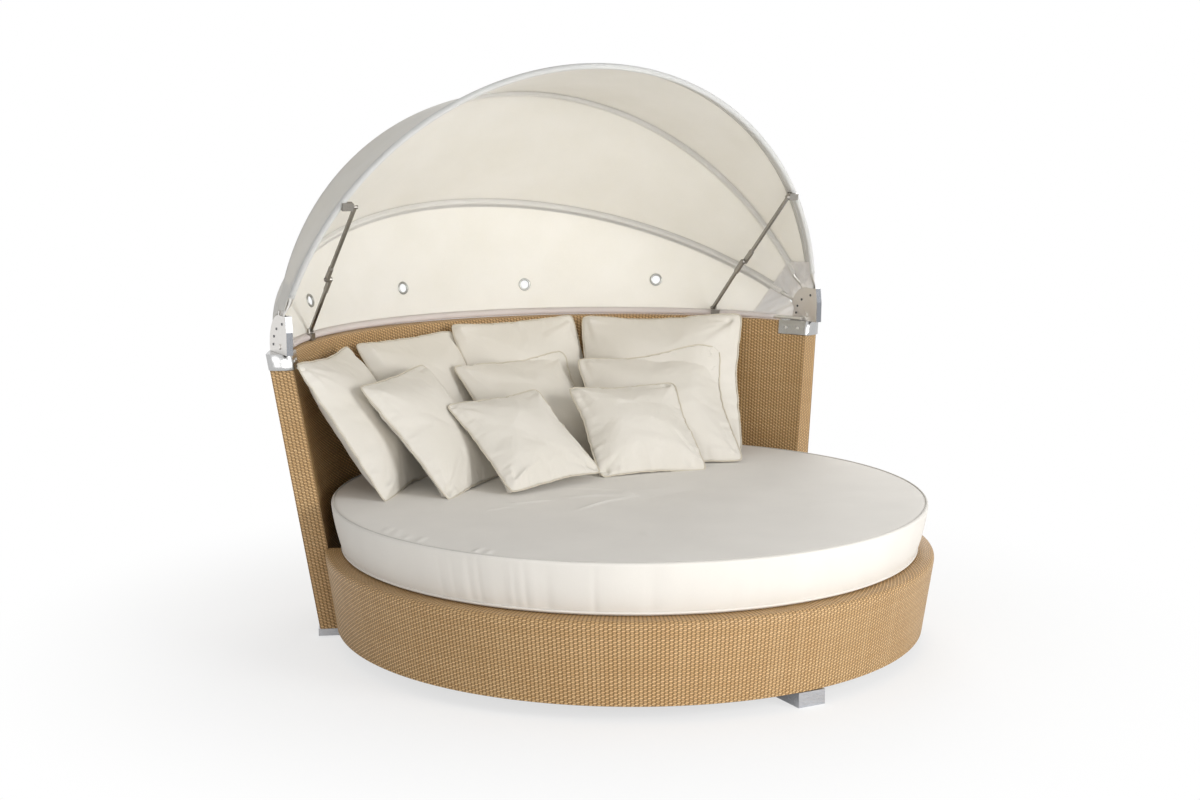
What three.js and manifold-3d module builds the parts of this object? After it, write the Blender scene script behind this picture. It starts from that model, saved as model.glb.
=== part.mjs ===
// Round outdoor daybed: a woven base with a curved woven back wall, a mattress with nine pillows, and a
// canopy of three bows that turn on a common pin at each end of the wall, held open by a folding stay.
// Millimetres, +Z up, the front towards -Y. Names ending in Share are shares of the size that they follow.
import * as THREE from 'three';
import { mergeVertices } from 'three/addons/utils/BufferGeometryUtils.js';
import Module from 'manifold-3d';

const wasm = await Module();
wasm.setup();

const deg = THREE.MathUtils.degToRad;
const half = (size) => size / 2;
const lerp = THREE.MathUtils.lerp;
const point = (x, y, z) => new THREE.Vector3(x, y, z);

// Clearances
const seatGap = 0.3;
const softGap = 0.5;
const frameGap = 1.5;
const runningGap = 0.3;
const overrun = 5;

// Mattress, the size that the round pieces follow
const mattressRadius = 901;
const mattressSeamInset = 1;
const mattressFootInset = 26;
const mattressSwell = 6;
const mattressSeamRadius = mattressRadius - mattressSeamInset;
const mattressFootRadius = mattressRadius - mattressFootInset;
const mattressThickness = 150;
const mattressCrown = 6;
const mattressSide = 12;
const mattressSideShares = [[0, 0.06], [0.32, 0.3], [0.64, 0.55], [0.9, 0.78], [1, 0.9]];

// Base
const footHeight = 42;
const footWidth = 85;
const footDepth = 150;
const frontFootOffset = 62;
const baseLedge = 29;
const baseFlare = 34;
const baseTopRadius = mattressRadius + baseLedge;
const baseFootRadius = baseTopRadius - baseFlare;
const baseTopHeight = 280;
const baseEdgeRadius = 20;
const skirtWall = 12;
const deckThickness = 10;
const deckInset = 69;
const deckRadius = baseTopRadius - deckInset;
const frameTube = 25;
const topRingWidth = 40;
const topRingHeight = 30;
const topRingInset = 10;
const lowRingInset = 36;
const topRingRadius = baseFootRadius - topRingInset;
const lowRingRadius = baseFootRadius - lowRingInset;
const postCount = 8;
const beamSpacing = 600;
const tieWidth = 50;
const tieSpread = 50;

// Back wall
const wallAxisBack = 15;
const wallBottom = 28;
const wallTop = 866;
const wallFootGap = 7;
const wallFlare = 139;
const wallFootRadius = mattressRadius + wallFootGap;
const wallTopRadius = wallFootRadius + wallFlare;
const wallThickness = 70;
const wallSkin = 6;
const wallEdgeRadius = 10;
const wallFootAngle = 69.5;
const wallTopAngle = 67.3;
const wallRail = 30;
const uprightCount = 7;
const glideHeight = 6;
const glideRadius = 9;
const wallFootWidth = 80;
const wallFootLength = 60;
const skirtToWall = 14;

// Pillows
const pillowShare = 1.124;
const pillowSize = (wallTop - baseTopHeight - mattressThickness) * pillowShare;
const pillowSettle = 4;
const pillowDrawIn = 0.055;

// Bows: half the width at the pin, the rise above the pin and the tilt, forward of upright positive
const pinAboveWall = 24;
const pinHeight = wallTop + pinAboveWall;
const pinBack = wallAxisBack + wallTopRadius * Math.cos(deg(wallTopAngle));
const bowAcross = wallTopRadius * Math.sin(deg(wallTopAngle));
const hingeInset = 13.9;
const hingeAcross = bowAcross - hingeInset;
const bowTube = 14;
const frontReachShare = 0.8955;
const middleReachShare = 0.85;
const rearReachShare = 0.8521;
const frontReach = bowAcross * frontReachShare;
const frontTilt = 16;
const middleReach = bowAcross * middleReachShare;
const middleTilt = -22.8;
const rearReach = bowAcross * rearReachShare;
const rearTilt = -62.4;
const railInset = 18;
const railBehind = 21;
const railAcross = hingeAcross - railInset;
const railReach = wallAxisBack + wallTopRadius + railBehind - pinBack;
const strapThickness = 3.6;
const strapPitch = 4.4;
const strapWidth = 20;
const strapNeck = 13;
const strapLength = 150;
const strapInTube = 12;
const tubeStart = strapLength - strapInTube;
const pinRadius = 5;
const pinHeadRadius = 9;
const pinHeadThickness = 3;

// Hinge brackets
const plateThickness = 3;
const plateRadius = 95;
const plateFront = 57;
const plateBulge = 6;
const clampThickness = 3;
const clampHeight = 46;
const clampLeg = 110;
const clampNose = 14;
const clampTop = 2.5;
const rivetRadius = 4;
const rivetHeight = 2;
const screwRadius = 4.5;
const screwHeight = 2.5;
const screwPlaces = [30, 78];

// Stays, in the upright plane that the links share
const stayAcrossShare = 0.788;
const stayRiseShare = 0.481;
const stayAcross = bowAcross * stayAcrossShare;
const stayRise = frontReach * stayRiseShare;
const stayForward = 16.6;
const stayTopHeight = pinHeight + stayRise;
const stayTopBack = pinBack - stayRise * Math.tan(deg(frontTilt)) - stayForward;
const stayFootAboveWall = 30;
const stayFootHeight = wallTop + stayFootAboveWall;
const elbowShare = 0.571;
const elbowOut = 2;
const linkSpacing = 10;
const linkWidth = 10;
const elbowWidth = 17;
const elbowLength = 62;
const stayPinRadius = 3;
const stayHeadRadius = 6;
const stayHeadThickness = 3;
const clipSize = 22;
const earWidth = 12;
const earShift = 3;
const stayBracketThickness = 5;
const saddleLength = 30;
const saddleInside = 14;
const saddleOutside = 1;
const saddleTop = 6;

// Canopy cloth
const clothThickness = 2.4;
const clothClearHinge = 112;
const clothSeam = 3;
const eyeletRadius = 22.5;
const eyeletBore = 14.5;
const eyeletBarrel = 16.5;
const eyeletFlange = 1.5;
const eyeletSeat = 2;

const paint = {
  weave: { color: 0xb98f5c, roughness: 0.75, metalness: 0 },
  aluminium: { color: 0xb9bcc2, roughness: 0.4, metalness: 0.9 },
  frame: { color: 0x8f9298, roughness: 0.55, metalness: 0.8 },
  steel: { color: 0xc9ccd2, roughness: 0.25, metalness: 1 },
  foot: { color: 0x3a3a3c, roughness: 0.7, metalness: 0 },
  board: { color: 0xa98252, roughness: 0.8, metalness: 0 },
  mattress: { color: 0xe9e6df, roughness: 0.9, metalness: 0 },
  pillow: { color: 0xe2dccd, roughness: 0.9, metalness: 0 },
  cloth: { color: 0xdcd5c6, roughness: 0.9, metalness: 0 },
};

const model = new THREE.Group();

function place(name, geometry, look) {
  const mesh = new THREE.Mesh(geometry, new THREE.MeshStandardMaterial(paint[look]));
  mesh.name = name;
  model.add(mesh);
  return geometry;
}

// Closed bodies from equal loops of points, capped at the ends unless the loops run round on themselves
function meshOf(points, index) {
  let volume = 0;
  for (let i = 0; i < index.length; i += 3) {
    const [a, b, c] = [points[index[i]], points[index[i + 1]], points[index[i + 2]]];
    volume += a.dot(b.clone().cross(c));
  }
  const faces = volume < 0 ? index.map((_, i) => index[i - (i % 3) + 2 - (i % 3)]) : index;
  const geometry = new THREE.BufferGeometry();
  geometry.setAttribute('position', new THREE.Float32BufferAttribute(points.flatMap((p) => [p.x, p.y, p.z]), 3));
  geometry.setIndex(faces);
  return geometry;
}

function swept(outline, steps, where, round = false) {
  const loops = round ? steps : steps + 1;
  const size = outline.length;
  const points = [];
  for (let i = 0; i < loops; i += 1) {
    outline.forEach(([u, v]) => points.push(where(i / steps, u, v)));
  }
  const index = [];
  for (let i = 0; i < steps; i += 1) {
    const a = i * size;
    const b = ((i + 1) % loops) * size;
    for (let k = 0; k < size; k += 1) {
      const next = (k + 1) % size;
      index.push(a + k, a + next, b + next, a + k, b + next, b + k);
    }
  }
  if (!round) {
    const flat = outline.map(([u, v]) => new THREE.Vector2(u, v));
    const turned = THREE.ShapeUtils.isClockWise(flat);
    THREE.ShapeUtils.triangulateShape(turned ? [...flat].reverse() : flat, []).forEach((face) => {
      const [p, q, r] = turned ? face.map((k) => size - 1 - k).reverse() : face;
      const end = (loops - 1) * size;
      index.push(p, r, q, end + p, end + q, end + r);
    });
  }
  return meshOf(points, index);
}

function solid(geometry) {
  const bare = geometry.clone();
  bare.deleteAttribute('normal');
  bare.deleteAttribute('uv');
  const merged = mergeVertices(bare);
  return new wasm.Manifold(new wasm.Mesh({
    numProp: 3,
    vertProperties: Float32Array.from(merged.attributes.position.array),
    triVerts: Uint32Array.from(merged.index.array),
  }));
}

function geometryOf(body) {
  const mesh = body.getMesh();
  const geometry = new THREE.BufferGeometry();
  geometry.setAttribute('position', new THREE.Float32BufferAttribute(mesh.vertProperties, 3));
  geometry.setIndex(Array.from(mesh.triVerts));
  return geometry;
}

// The main body of a cut, without the crumbs that a grazing cut leaves
function mainBody(geometry) {
  const shape = mergeVertices(geometry);
  const index = Array.from(shape.index.array);
  const root = Array.from({ length: shape.attributes.position.count }, (_, i) => i);
  const find = (i) => {
    let k = i;
    while (root[k] !== k) k = root[k];
    root[i] = k;
    return k;
  };
  for (let i = 0; i < index.length; i += 3) {
    root[find(index[i + 1])] = find(index[i]);
    root[find(index[i + 2])] = find(index[i]);
  }
  const sizes = new Map();
  index.forEach((i) => sizes.set(find(i), (sizes.get(find(i)) || 0) + 1));
  const [main] = [...sizes].reduce((best, next) => (next[1] > best[1] ? next : best));
  const kept = [];
  for (let i = 0; i < index.length; i += 3) {
    if (find(index[i]) === main) kept.push(index[i], index[i + 1], index[i + 2]);
  }
  shape.setIndex(kept);
  return shape;
}

const join = (...parts) => parts.map(solid).reduce((all, next) => all.add(next));
const cut = (body, ...cutters) => cutters.reduce((rest, next) => rest.subtract(next), body);

function box(across, deep, high, x, y, z, turn = 0) {
  return new THREE.BoxGeometry(across, deep, high).rotateZ(turn).translate(x, y, z);
}

// A rod between two points
function rod(from, to, radius, sides = 12) {
  const along = to.clone().sub(from);
  const turn = new THREE.Quaternion().setFromUnitVectors(point(0, 1, 0), along.clone().normalize());
  const middle = from.clone().add(to).multiplyScalar(0.5);
  return new THREE.CylinderGeometry(radius, radius, along.length(), sides)
    .applyQuaternion(turn).translate(middle.x, middle.y, middle.z);
}

const ringOutline = (radius, sides) => Array.from({ length: sides }, (_, k) => {
  const turn = (2 * Math.PI * k) / sides;
  return [radius * Math.cos(turn), radius * Math.sin(turn)];
});

// Back wall: it leans out as it rises, and its ends lean back
const riseOf = (z) => (z - wallBottom) / (wallTop - wallBottom);
const wallRadius = (z) => lerp(wallFootRadius, wallTopRadius, riseOf(z));
const wallEnd = (z) => deg(lerp(wallFootAngle, wallTopAngle, riseOf(z)));
function wallPoint(angle, across, z) {
  const radius = wallRadius(z) + across;
  return point(radius * Math.sin(angle), wallAxisBack + radius * Math.cos(angle), z);
}

function wallOutline(grow, bottom, top) {
  const side = half(wallThickness) + grow;
  const edge = wallEdgeRadius;
  const corner = [0, 0.5, 1].map((share) => {
    const turn = (Math.PI / 2) * share;
    return [side - edge + edge * Math.cos(turn), top - edge + edge * Math.sin(turn)];
  });
  return [[-side, bottom], [side, bottom], ...corner, ...corner.map(([u, v]) => [-u, v]).reverse()];
}

function wallSector(outline, steps, inset) {
  return swept(outline, steps, (share, u, z) => {
    const end = wallEnd(z) - inset / wallRadius(z);
    return wallPoint((2 * share - 1) * end, u, z);
  });
}

const wallSteps = 34;
const wallOuter = wallSector(wallOutline(0, wallBottom, wallTop), wallSteps, 0);
const hollowSide = half(wallThickness) - wallSkin;
const wallHollow = wallSector([
  [-hollowSide, wallBottom - overrun], [hollowSide, wallBottom - overrun],
  [hollowSide, wallTop - wallSkin], [-hollowSide, wallTop - wallSkin],
], wallSteps, wallSkin);
place('back_wall', geometryOf(cut(solid(wallOuter), solid(wallHollow))), 'weave');

// Welded frame inside the wall: two rails and uprights
const wallFrameSide = hollowSide - frameGap;
const railInWall = (low, high) => wallSector([
  [-wallFrameSide, low], [wallFrameSide, low], [wallFrameSide, high], [-wallFrameSide, high],
], wallSteps, wallSkin + wallRail);
const wallFrameTop = wallTop - wallSkin - seatGap;
const wallFrameLow = wallBottom;
const wallFrame = [
  railInWall(wallFrameLow, wallFrameLow + wallRail),
  railInWall(wallFrameTop - wallRail, wallFrameTop),
];
for (let k = 0; k < uprightCount; k += 1) {
  const share = lerp(-1, 1, k / (uprightCount - 1));
  const edge = half(frameTube);
  const ends = [wallFrameLow + half(wallRail), wallFrameTop - half(wallRail)];
  wallFrame.push(swept([[-edge, -edge], [edge, -edge], [edge, edge], [-edge, edge]], 1, (rise, u, v) => {
    const z = lerp(ends[0], ends[1], rise);
    const inset = (wallSkin + wallRail + frameTube) / wallRadius(z);
    return wallPoint(share * (wallEnd(z) - inset) + v / wallRadius(z), u, z);
  }));
}
place('wall_frame', geometryOf(join(...wallFrame)), 'frame');

// Foot bars with glides under the wall
[['left', -1], ['rear', 0], ['right', 1]].forEach(([side, share]) => {
  const low = glideHeight + seatGap;
  const high = wallBottom - seatGap;
  const arc = wallFootLength / wallFootRadius;
  const middle = share * (deg(wallFootAngle) - half(arc));
  const wide = half(wallFootWidth);
  place(`wall_foot_${side}`, swept([[-wide, low], [wide, low], [wide, high], [-wide, high]], 4,
    (along, u, z) => {
      const bar = wallPoint(middle + lerp(-half(arc), half(arc), along), u, wallBottom);
      return bar.setZ(z);
    }), 'aluminium');
  const stand = wallPoint(middle, 0, wallBottom);
  place(`glide_${side}`, rod(stand.clone().setZ(0), stand.clone().setZ(glideHeight), glideRadius, 16), 'foot');
});

// Base: skirt round the front, ending just before the wall's ends
const skirtFoot = footHeight + seatGap;
const skirtRadius = (z) => lerp(baseFootRadius, baseTopRadius,
  (z - skirtFoot) / (baseTopHeight - baseEdgeRadius - skirtFoot));
function skirtEnd(z) {
  const corner = wallPoint(wallEnd(z), 0, z);
  return Math.atan2(corner.x, -corner.y) - skirtToWall / skirtRadius(z);
}
const skirtLow = baseTopHeight - deckThickness;
const skirtEdge = [0, 0.33, 0.67, 1].map((share) => {
  const turn = (Math.PI / 2) * share;
  return [
    baseTopRadius - baseEdgeRadius + baseEdgeRadius * Math.cos(turn),
    baseTopHeight - baseEdgeRadius + baseEdgeRadius * Math.sin(turn),
  ];
});
const skirtInner = skirtRadius(skirtLow) - baseEdgeRadius;
const skirtSteps = 48;
place('base_skirt', swept([
  [baseFootRadius - skirtWall, skirtFoot], [baseFootRadius, skirtFoot], ...skirtEdge,
  [deckRadius + frameGap, baseTopHeight], [deckRadius + frameGap, skirtLow], [skirtInner, skirtLow],
  [skirtInner, skirtLow - baseEdgeRadius],
], skirtSteps, (share, radius, z) => {
  const angle = (2 * share - 1) * skirtEnd(Math.min(z, baseTopHeight - baseEdgeRadius));
  return point(radius * Math.sin(angle), -radius * Math.cos(angle), z);
}), 'weave');

place('deck_panel', new THREE.CylinderGeometry(deckRadius, deckRadius, deckThickness, 64)
  .rotateX(Math.PI / 2).translate(0, 0, baseTopHeight - half(deckThickness)), 'board');

const ringSteps = 32;
const ring = (outer, width, low, high) => swept([
  [outer - width, low], [outer, low], [outer, high], [outer - width, high],
], ringSteps, (share, radius, z) => {
  const angle = 2 * Math.PI * share;
  return point(radius * Math.sin(angle), radius * Math.cos(angle), z);
}, true);
const frameHigh = skirtLow - seatGap;
const frameMiddle = frameHigh - half(topRingHeight);
const lowRingLow = footHeight + seatGap;
const baseFrame = [
  ring(topRingRadius, topRingWidth, frameHigh - topRingHeight, frameHigh),
  ring(lowRingRadius, frameTube, lowRingLow, lowRingLow + frameTube),
];
const lowRingMiddle = lowRingLow + half(frameTube);
const postRadius = lowRingRadius - half(frameTube);
for (let k = 0; k < postCount; k += 1) {
  const angle = (2 * Math.PI * (k + 0.5)) / postCount;
  const high = frameMiddle - lowRingMiddle;
  baseFrame.push(box(frameTube, frameTube, high, postRadius * Math.sin(angle), postRadius * Math.cos(angle),
    lowRingMiddle + half(high), -angle));
}
[-0.5, 0.5].forEach((share) => {
  const x = beamSpacing * share;
  const length = 2 * Math.sqrt((topRingRadius - half(topRingWidth)) ** 2 - x ** 2);
  baseFrame.push(box(topRingWidth, length, topRingHeight, x, 0, frameMiddle));
});
baseFrame.push(box(2 * (topRingRadius - half(topRingWidth)), topRingWidth, topRingHeight, 0, 0, frameMiddle));
baseFrame.push(box(frameTube, 2 * postRadius, frameTube, frontFootOffset, 0, lowRingMiddle));
baseFrame.push(box(frameTube, 2 * postRadius, frameTube, -frontFootOffset, 0, lowRingMiddle));
[-1, 0, 1].forEach((share) => {
  const angle = deg(tieSpread) * share;
  const start = topRingRadius - half(topRingWidth);
  const length = wallRadius(frameMiddle) - start;
  const radius = start + half(length);
  baseFrame.push(box(tieWidth, length, topRingHeight, radius * Math.sin(angle), radius * Math.cos(angle),
    frameMiddle, -angle));
});
const wallRoom = wallSector(wallOutline(seatGap, wallBottom - overrun, wallTop + overrun), wallSteps, -seatGap);
place('base_frame', geometryOf(cut(join(...baseFrame), solid(wallRoom))), 'frame');

const foot = (x, y) => new THREE.BoxGeometry(footWidth, footDepth, footHeight)
  .translate(x, y, half(footHeight));
place('front_foot', foot(frontFootOffset, half(footDepth) - baseFootRadius - seatGap), 'aluminium');
place('rear_foot', foot(-frontFootOffset, lowRingRadius - half(footDepth)), 'aluminium');

// Mattress: its side leans outwards from the foot to just under the seam, with a slight crown on top
const mattressFoot = baseTopHeight + seatGap;
const mattressEdge = mattressFoot + mattressThickness;
const mattressTop = (radius) => mattressEdge + mattressCrown
  * (1 - Math.min(1, radius / mattressSeamRadius) ** 4);
const mattressRings = [0.9, 0.6].map((share) => mattressSeamRadius * share);
const mattressShape = new THREE.LatheGeometry([
  [0, mattressFoot], [mattressFootRadius - half(mattressSide), mattressFoot],
  ...mattressSideShares.map(([out, up]) => [
    lerp(mattressFootRadius, mattressRadius + mattressSwell, out), mattressFoot + mattressThickness * up]),
  [mattressSeamRadius, mattressEdge],
  ...mattressRings.map((radius) => [radius, mattressTop(radius)]),
  [0, mattressTop(0)],
].map(([radius, z]) => new THREE.Vector2(radius, z)), 48).rotateX(Math.PI / 2);
place('mattress', mergeVertices(mattressShape.deleteAttribute('normal').deleteAttribute('uv')), 'mattress');

// Pillows, back row first: where the middle of the lower edge lies, as shares of the mattress's radius; facing
// (0 to the front, + to the right), lean back and roll; width, height and thickness as shares of pillowSize
const pillowRows = [
  ['pillow_back_left_end', [-0.6349, 0.4173], [49, 34, 0], [0.9184, 1, 0.3061]],
  ['pillow_back_left', [-0.2908, 0.6881], [25, 34, 0], [0.9592, 1, 0.3061]],
  ['pillow_back_right', [0.0733, 0.7658], [-3, 31, 2], [0.9388, 1.0204, 0.3061]],
  ['pillow_back_right_end', [0.4384, 0.5461], [-35, 34, 2], [1.1429, 1.0816, 0.3265]],
  ['pillow_middle_left', [-0.4173, 0.313], [40, 41, 2], [0.898, 0.898, 0.2857]],
  ['pillow_middle', [0.0333, 0.5216], [12, 46, 0], [0.9184, 0.9184, 0.2857]],
  ['pillow_middle_right', [0.3607, 0.3219], [-19, 50, 2], [0.9796, 0.9898, 0.3061]],
  ['pillow_front_left', [-0.1953, 0.1554], [13, 52, 3], [0.7653, 0.7653, 0.2551]],
  ['pillow_front_right', [0.222, 0.2109], [-6, 49, -1], [0.7653, 0.7653, 0.2551]],
];
const pillows = pillowRows.map(([name, placeShares, [facing, lean, roll], sizeShares]) => {
  const [x, y] = placeShares.map((share) => share * mattressRadius);
  const [wide, high, thick] = sizeShares.map((share) => share * pillowSize);
  return [name, { x, y, facing, lean, roll, wide, high, thick }];
});
const pillowSteps = 9;

function pillowForm({ wide, high, thick, x, y, facing, lean, roll }, grow) {
  const across = pillowSteps + 1;
  const points = [];
  const index = [];
  const fullness = (share) => 1 - Math.abs(share) ** 3.2;
  [1, -1].forEach((side) => {
    for (let i = 0; i < across; i += 1) {
      for (let j = 0; j < across; j += 1) {
        const u = Math.sin((Math.PI / 2) * lerp(-1, 1, i / pillowSteps));
        const v = Math.sin((Math.PI / 2) * lerp(-1, 1, j / pillowSteps));
        const swell = (half(thick) + grow) * Math.sqrt(fullness(u) * fullness(v));
        points.push(point(
          (half(wide) + grow) * u * (1 - pillowDrawIn * (1 - v * v)),
          -side * swell,
          half(high) + (half(high) + grow) * v * (1 - pillowDrawIn * (1 - u * u)),
        ));
      }
    }
  });
  for (let i = 0; i < pillowSteps; i += 1) {
    for (let j = 0; j < pillowSteps; j += 1) {
      const a = i * across + j;
      const b = a + across;
      const back = across * across;
      index.push(a, b, b + 1, a, b + 1, a + 1);
      index.push(back + a, back + b + 1, back + b, back + a, back + a + 1, back + b + 1);
    }
  }
  return mergeVertices(meshOf(points, index))
    .rotateY(-deg(roll)).rotateX(-deg(lean)).rotateZ(deg(facing)).translate(x, y, 0);
}
function pillowShape(pillow, grow = 0) {
  const form = pillowForm(pillow, 0);
  form.computeBoundingBox();
  const rest = mattressTop(Math.hypot(pillow.x, pillow.y)) - pillowSettle;
  return pillowForm(pillow, grow).translate(0, 0, rest - form.boundingBox.min.z);
}

const moved = (body, x, y, z) => body.translate([x, y, z]);
const carried = [moved(solid(mattressShape), 0, 0, softGap), solid(wallRoom)];
pillows.forEach(([name, pillow]) => {
  place(name, mainBody(geometryOf(cut(solid(pillowShape(pillow)), ...carried))), 'pillow');
  carried.push(solid(pillowShape(pillow, softGap)));
});

// Bows: a circular arc from pin to pin, in a plane tilted about the pins
function bowArc(acrossPin, reach) {
  const radius = (acrossPin ** 2 + reach ** 2) / (2 * reach);
  const depth = radius - reach;
  const end = Math.acos(depth / radius);
  return {
    end,
    start: (rise) => Math.acos((depth + rise) / radius),
    at: (turn, grow = 0) => [(radius + grow) * Math.sin(turn), (radius + grow) * Math.cos(turn) - depth],
  };
}
function tilted(x, rise, tilt) {
  return point(x, pinBack - rise * Math.sin(deg(tilt)), pinHeight + rise * Math.cos(deg(tilt)));
}
const bows = {
  front: { ...bowArc(bowAcross, frontReach), tilt: frontTilt, plane: 1 },
  middle: { ...bowArc(bowAcross, middleReach), tilt: middleTilt, plane: 0 },
  rear: { ...bowArc(bowAcross, rearReach), tilt: rearTilt, plane: -1 },
};
const bowSteps = 28;
const bowTubeShape = (bow, radius, sides = 8) => {
  const first = bow.start(tubeStart);
  return swept(ringOutline(radius, sides), bowSteps, (share, u, v) => {
    const [x, rise] = bow.at(lerp(-first, first, share), u);
    const out = tilted(0, 1, bow.tilt + 90).sub(tilted(0, 0, bow.tilt)).multiplyScalar(v);
    return tilted(x, rise, bow.tilt).add(out);
  });
};
// Flattened end of a bow: its eye on the pin, straight between the plates, then bent in to the tube
function strap(bow, side) {
  const edge = half(strapWidth);
  const neck = half(strapNeck);
  const round = Array.from({ length: 7 }, (_, k) => {
    const turn = Math.PI * (1 + k / 6);
    return [edge * Math.cos(turn), edge * Math.sin(turn)];
  });
  const outline = [
    [-neck, strapLength], [-neck, plateRadius], [-edge, plateRadius - edge], ...round,
    [edge, plateRadius - edge], [neck, plateRadius], [neck, strapLength],
  ];
  const straight = hingeAcross + bow.plane * strapPitch;
  const [bentIn] = bow.at(bow.start(strapLength));
  return swept(outline, 1, (share, u, rise) => {
    const bend = Math.max(0, (rise - plateRadius) / (strapLength - plateRadius));
    const x = side * (lerp(straight, bentIn, bend) + lerp(-0.5, 0.5, share) * strapThickness);
    const out = tilted(0, 1, bow.tilt + 90).sub(tilted(0, 0, bow.tilt)).multiplyScalar(u);
    return tilted(x, rise, bow.tilt).add(out);
  });
}
const pinSides = 14;
const pinLine = (side, radius, inner, outer, sides = pinSides) => rod(
  point(side * inner, pinBack, pinHeight), point(side * outer, pinBack, pinHeight), radius, sides);
const eyeCutters = [-1, 1].map((side) => solid(
  pinLine(side, pinRadius + runningGap, hingeAcross - overrun * 4, hingeAcross + overrun * 4, pinSides)));
Object.entries(bows).forEach(([name, bow]) => {
  const body = join(bowTubeShape(bow, half(bowTube)), strap(bow, -1), strap(bow, 1));
  place(`bow_${name}`, geometryOf(cut(body, ...eyeCutters)), 'aluminium');
});

// Rail along the wall's top, its ends on the hinge clamps
const clampCover = wallTop + seatGap + clampTop;
const railHeight = clampCover + seatGap + half(bowTube);
const rail = bowArc(railAcross, railReach);
const railPoint = (share, u = 0, v = 0) => {
  const [x, rise] = rail.at(lerp(-rail.start(overrun * 2), rail.start(overrun * 2), share), u);
  return point(x, pinBack + rise, railHeight + v);
};
const tubeSides = 8;
const railSteps = 36;
place('canopy_rail', swept(ringOutline(half(bowTube), tubeSides), railSteps, railPoint), 'aluminium');

// Hinge brackets on the wall's ends
const clampSide = half(wallThickness) + seatGap + half(clampThickness);
function clampPath(share) {
  const legShare = 0.36;
  if (share < legShare) return [lerp(-clampLeg, 0, share / legShare), -clampSide];
  if (share > 1 - legShare) return [lerp(0, -clampLeg, (share - 1 + legShare) / legShare), clampSide];
  const turn = Math.PI * ((share - legShare) / (1 - 2 * legShare));
  return [seatGap + clampNose * Math.sin(turn), -clampSide * Math.cos(turn)];
}
const clampRoom = solid(wallSector(
  wallOutline(seatGap, wallBottom - overrun, wallTop + seatGap), wallSteps, -seatGap));
function clampShape(side) {
  const steps = 18;
  const low = wallTop - clampHeight;
  const band = swept([
    [-0.5, low], [0.5, low], [0.5, clampCover], [-0.5, clampCover],
  ], steps, (share, u, z) => {
    const [along, across] = clampPath(share);
    const [a1, c1] = clampPath(Math.min(1, share + 0.01));
    const [a0, c0] = clampPath(Math.max(0, share - 0.01));
    const length = Math.hypot(a1 - a0, c1 - c0);
    const forward = along + (u * clampThickness * (c1 - c0)) / length;
    const outward = across - (u * clampThickness * (a1 - a0)) / length;
    const spot = wallPoint(wallEnd(z) + forward / wallRadius(z), outward, z);
    return spot.setX(side * spot.x);
  });
  const outline = [];
  for (let k = 0; k <= steps; k += 1) {
    outline.push(clampPath(k / steps));
  }
  const cover = swept(outline, 1, (share, along, across) => {
    const spot = wallPoint(wallEnd(wallTop) + along / wallRadius(wallTop), across, wallTop);
    return point(side * spot.x, spot.y, lerp(wallTop + seatGap, clampCover, share));
  });
  return cut(join(band, cover), clampRoom);
}
const plateFoot = clampCover + seatGap - pinHeight;
function plateShape(side, inner) {
  const outline = [[-plateFront - plateBulge, plateFoot]];
  outline.push([-plateFront - plateBulge * 1.2, plateRadius * 0.5], [-plateFront, plateRadius]);
  for (let k = 0; k <= 10; k += 1) {
    const turn = lerp(deg(100), Math.asin(plateFoot / plateRadius), k / 10);
    outline.push([plateRadius * Math.cos(turn), plateRadius * Math.sin(turn)]);
  }
  return swept(outline, 1, (share, back, up) => point(
    side * (inner + share * plateThickness), pinBack + back, pinHeight + up));
}
const plateInside = hingeAcross - half(3 * strapPitch) - softGap - plateThickness;
const plateOutside = hingeAcross + half(3 * strapPitch) + softGap;

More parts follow.
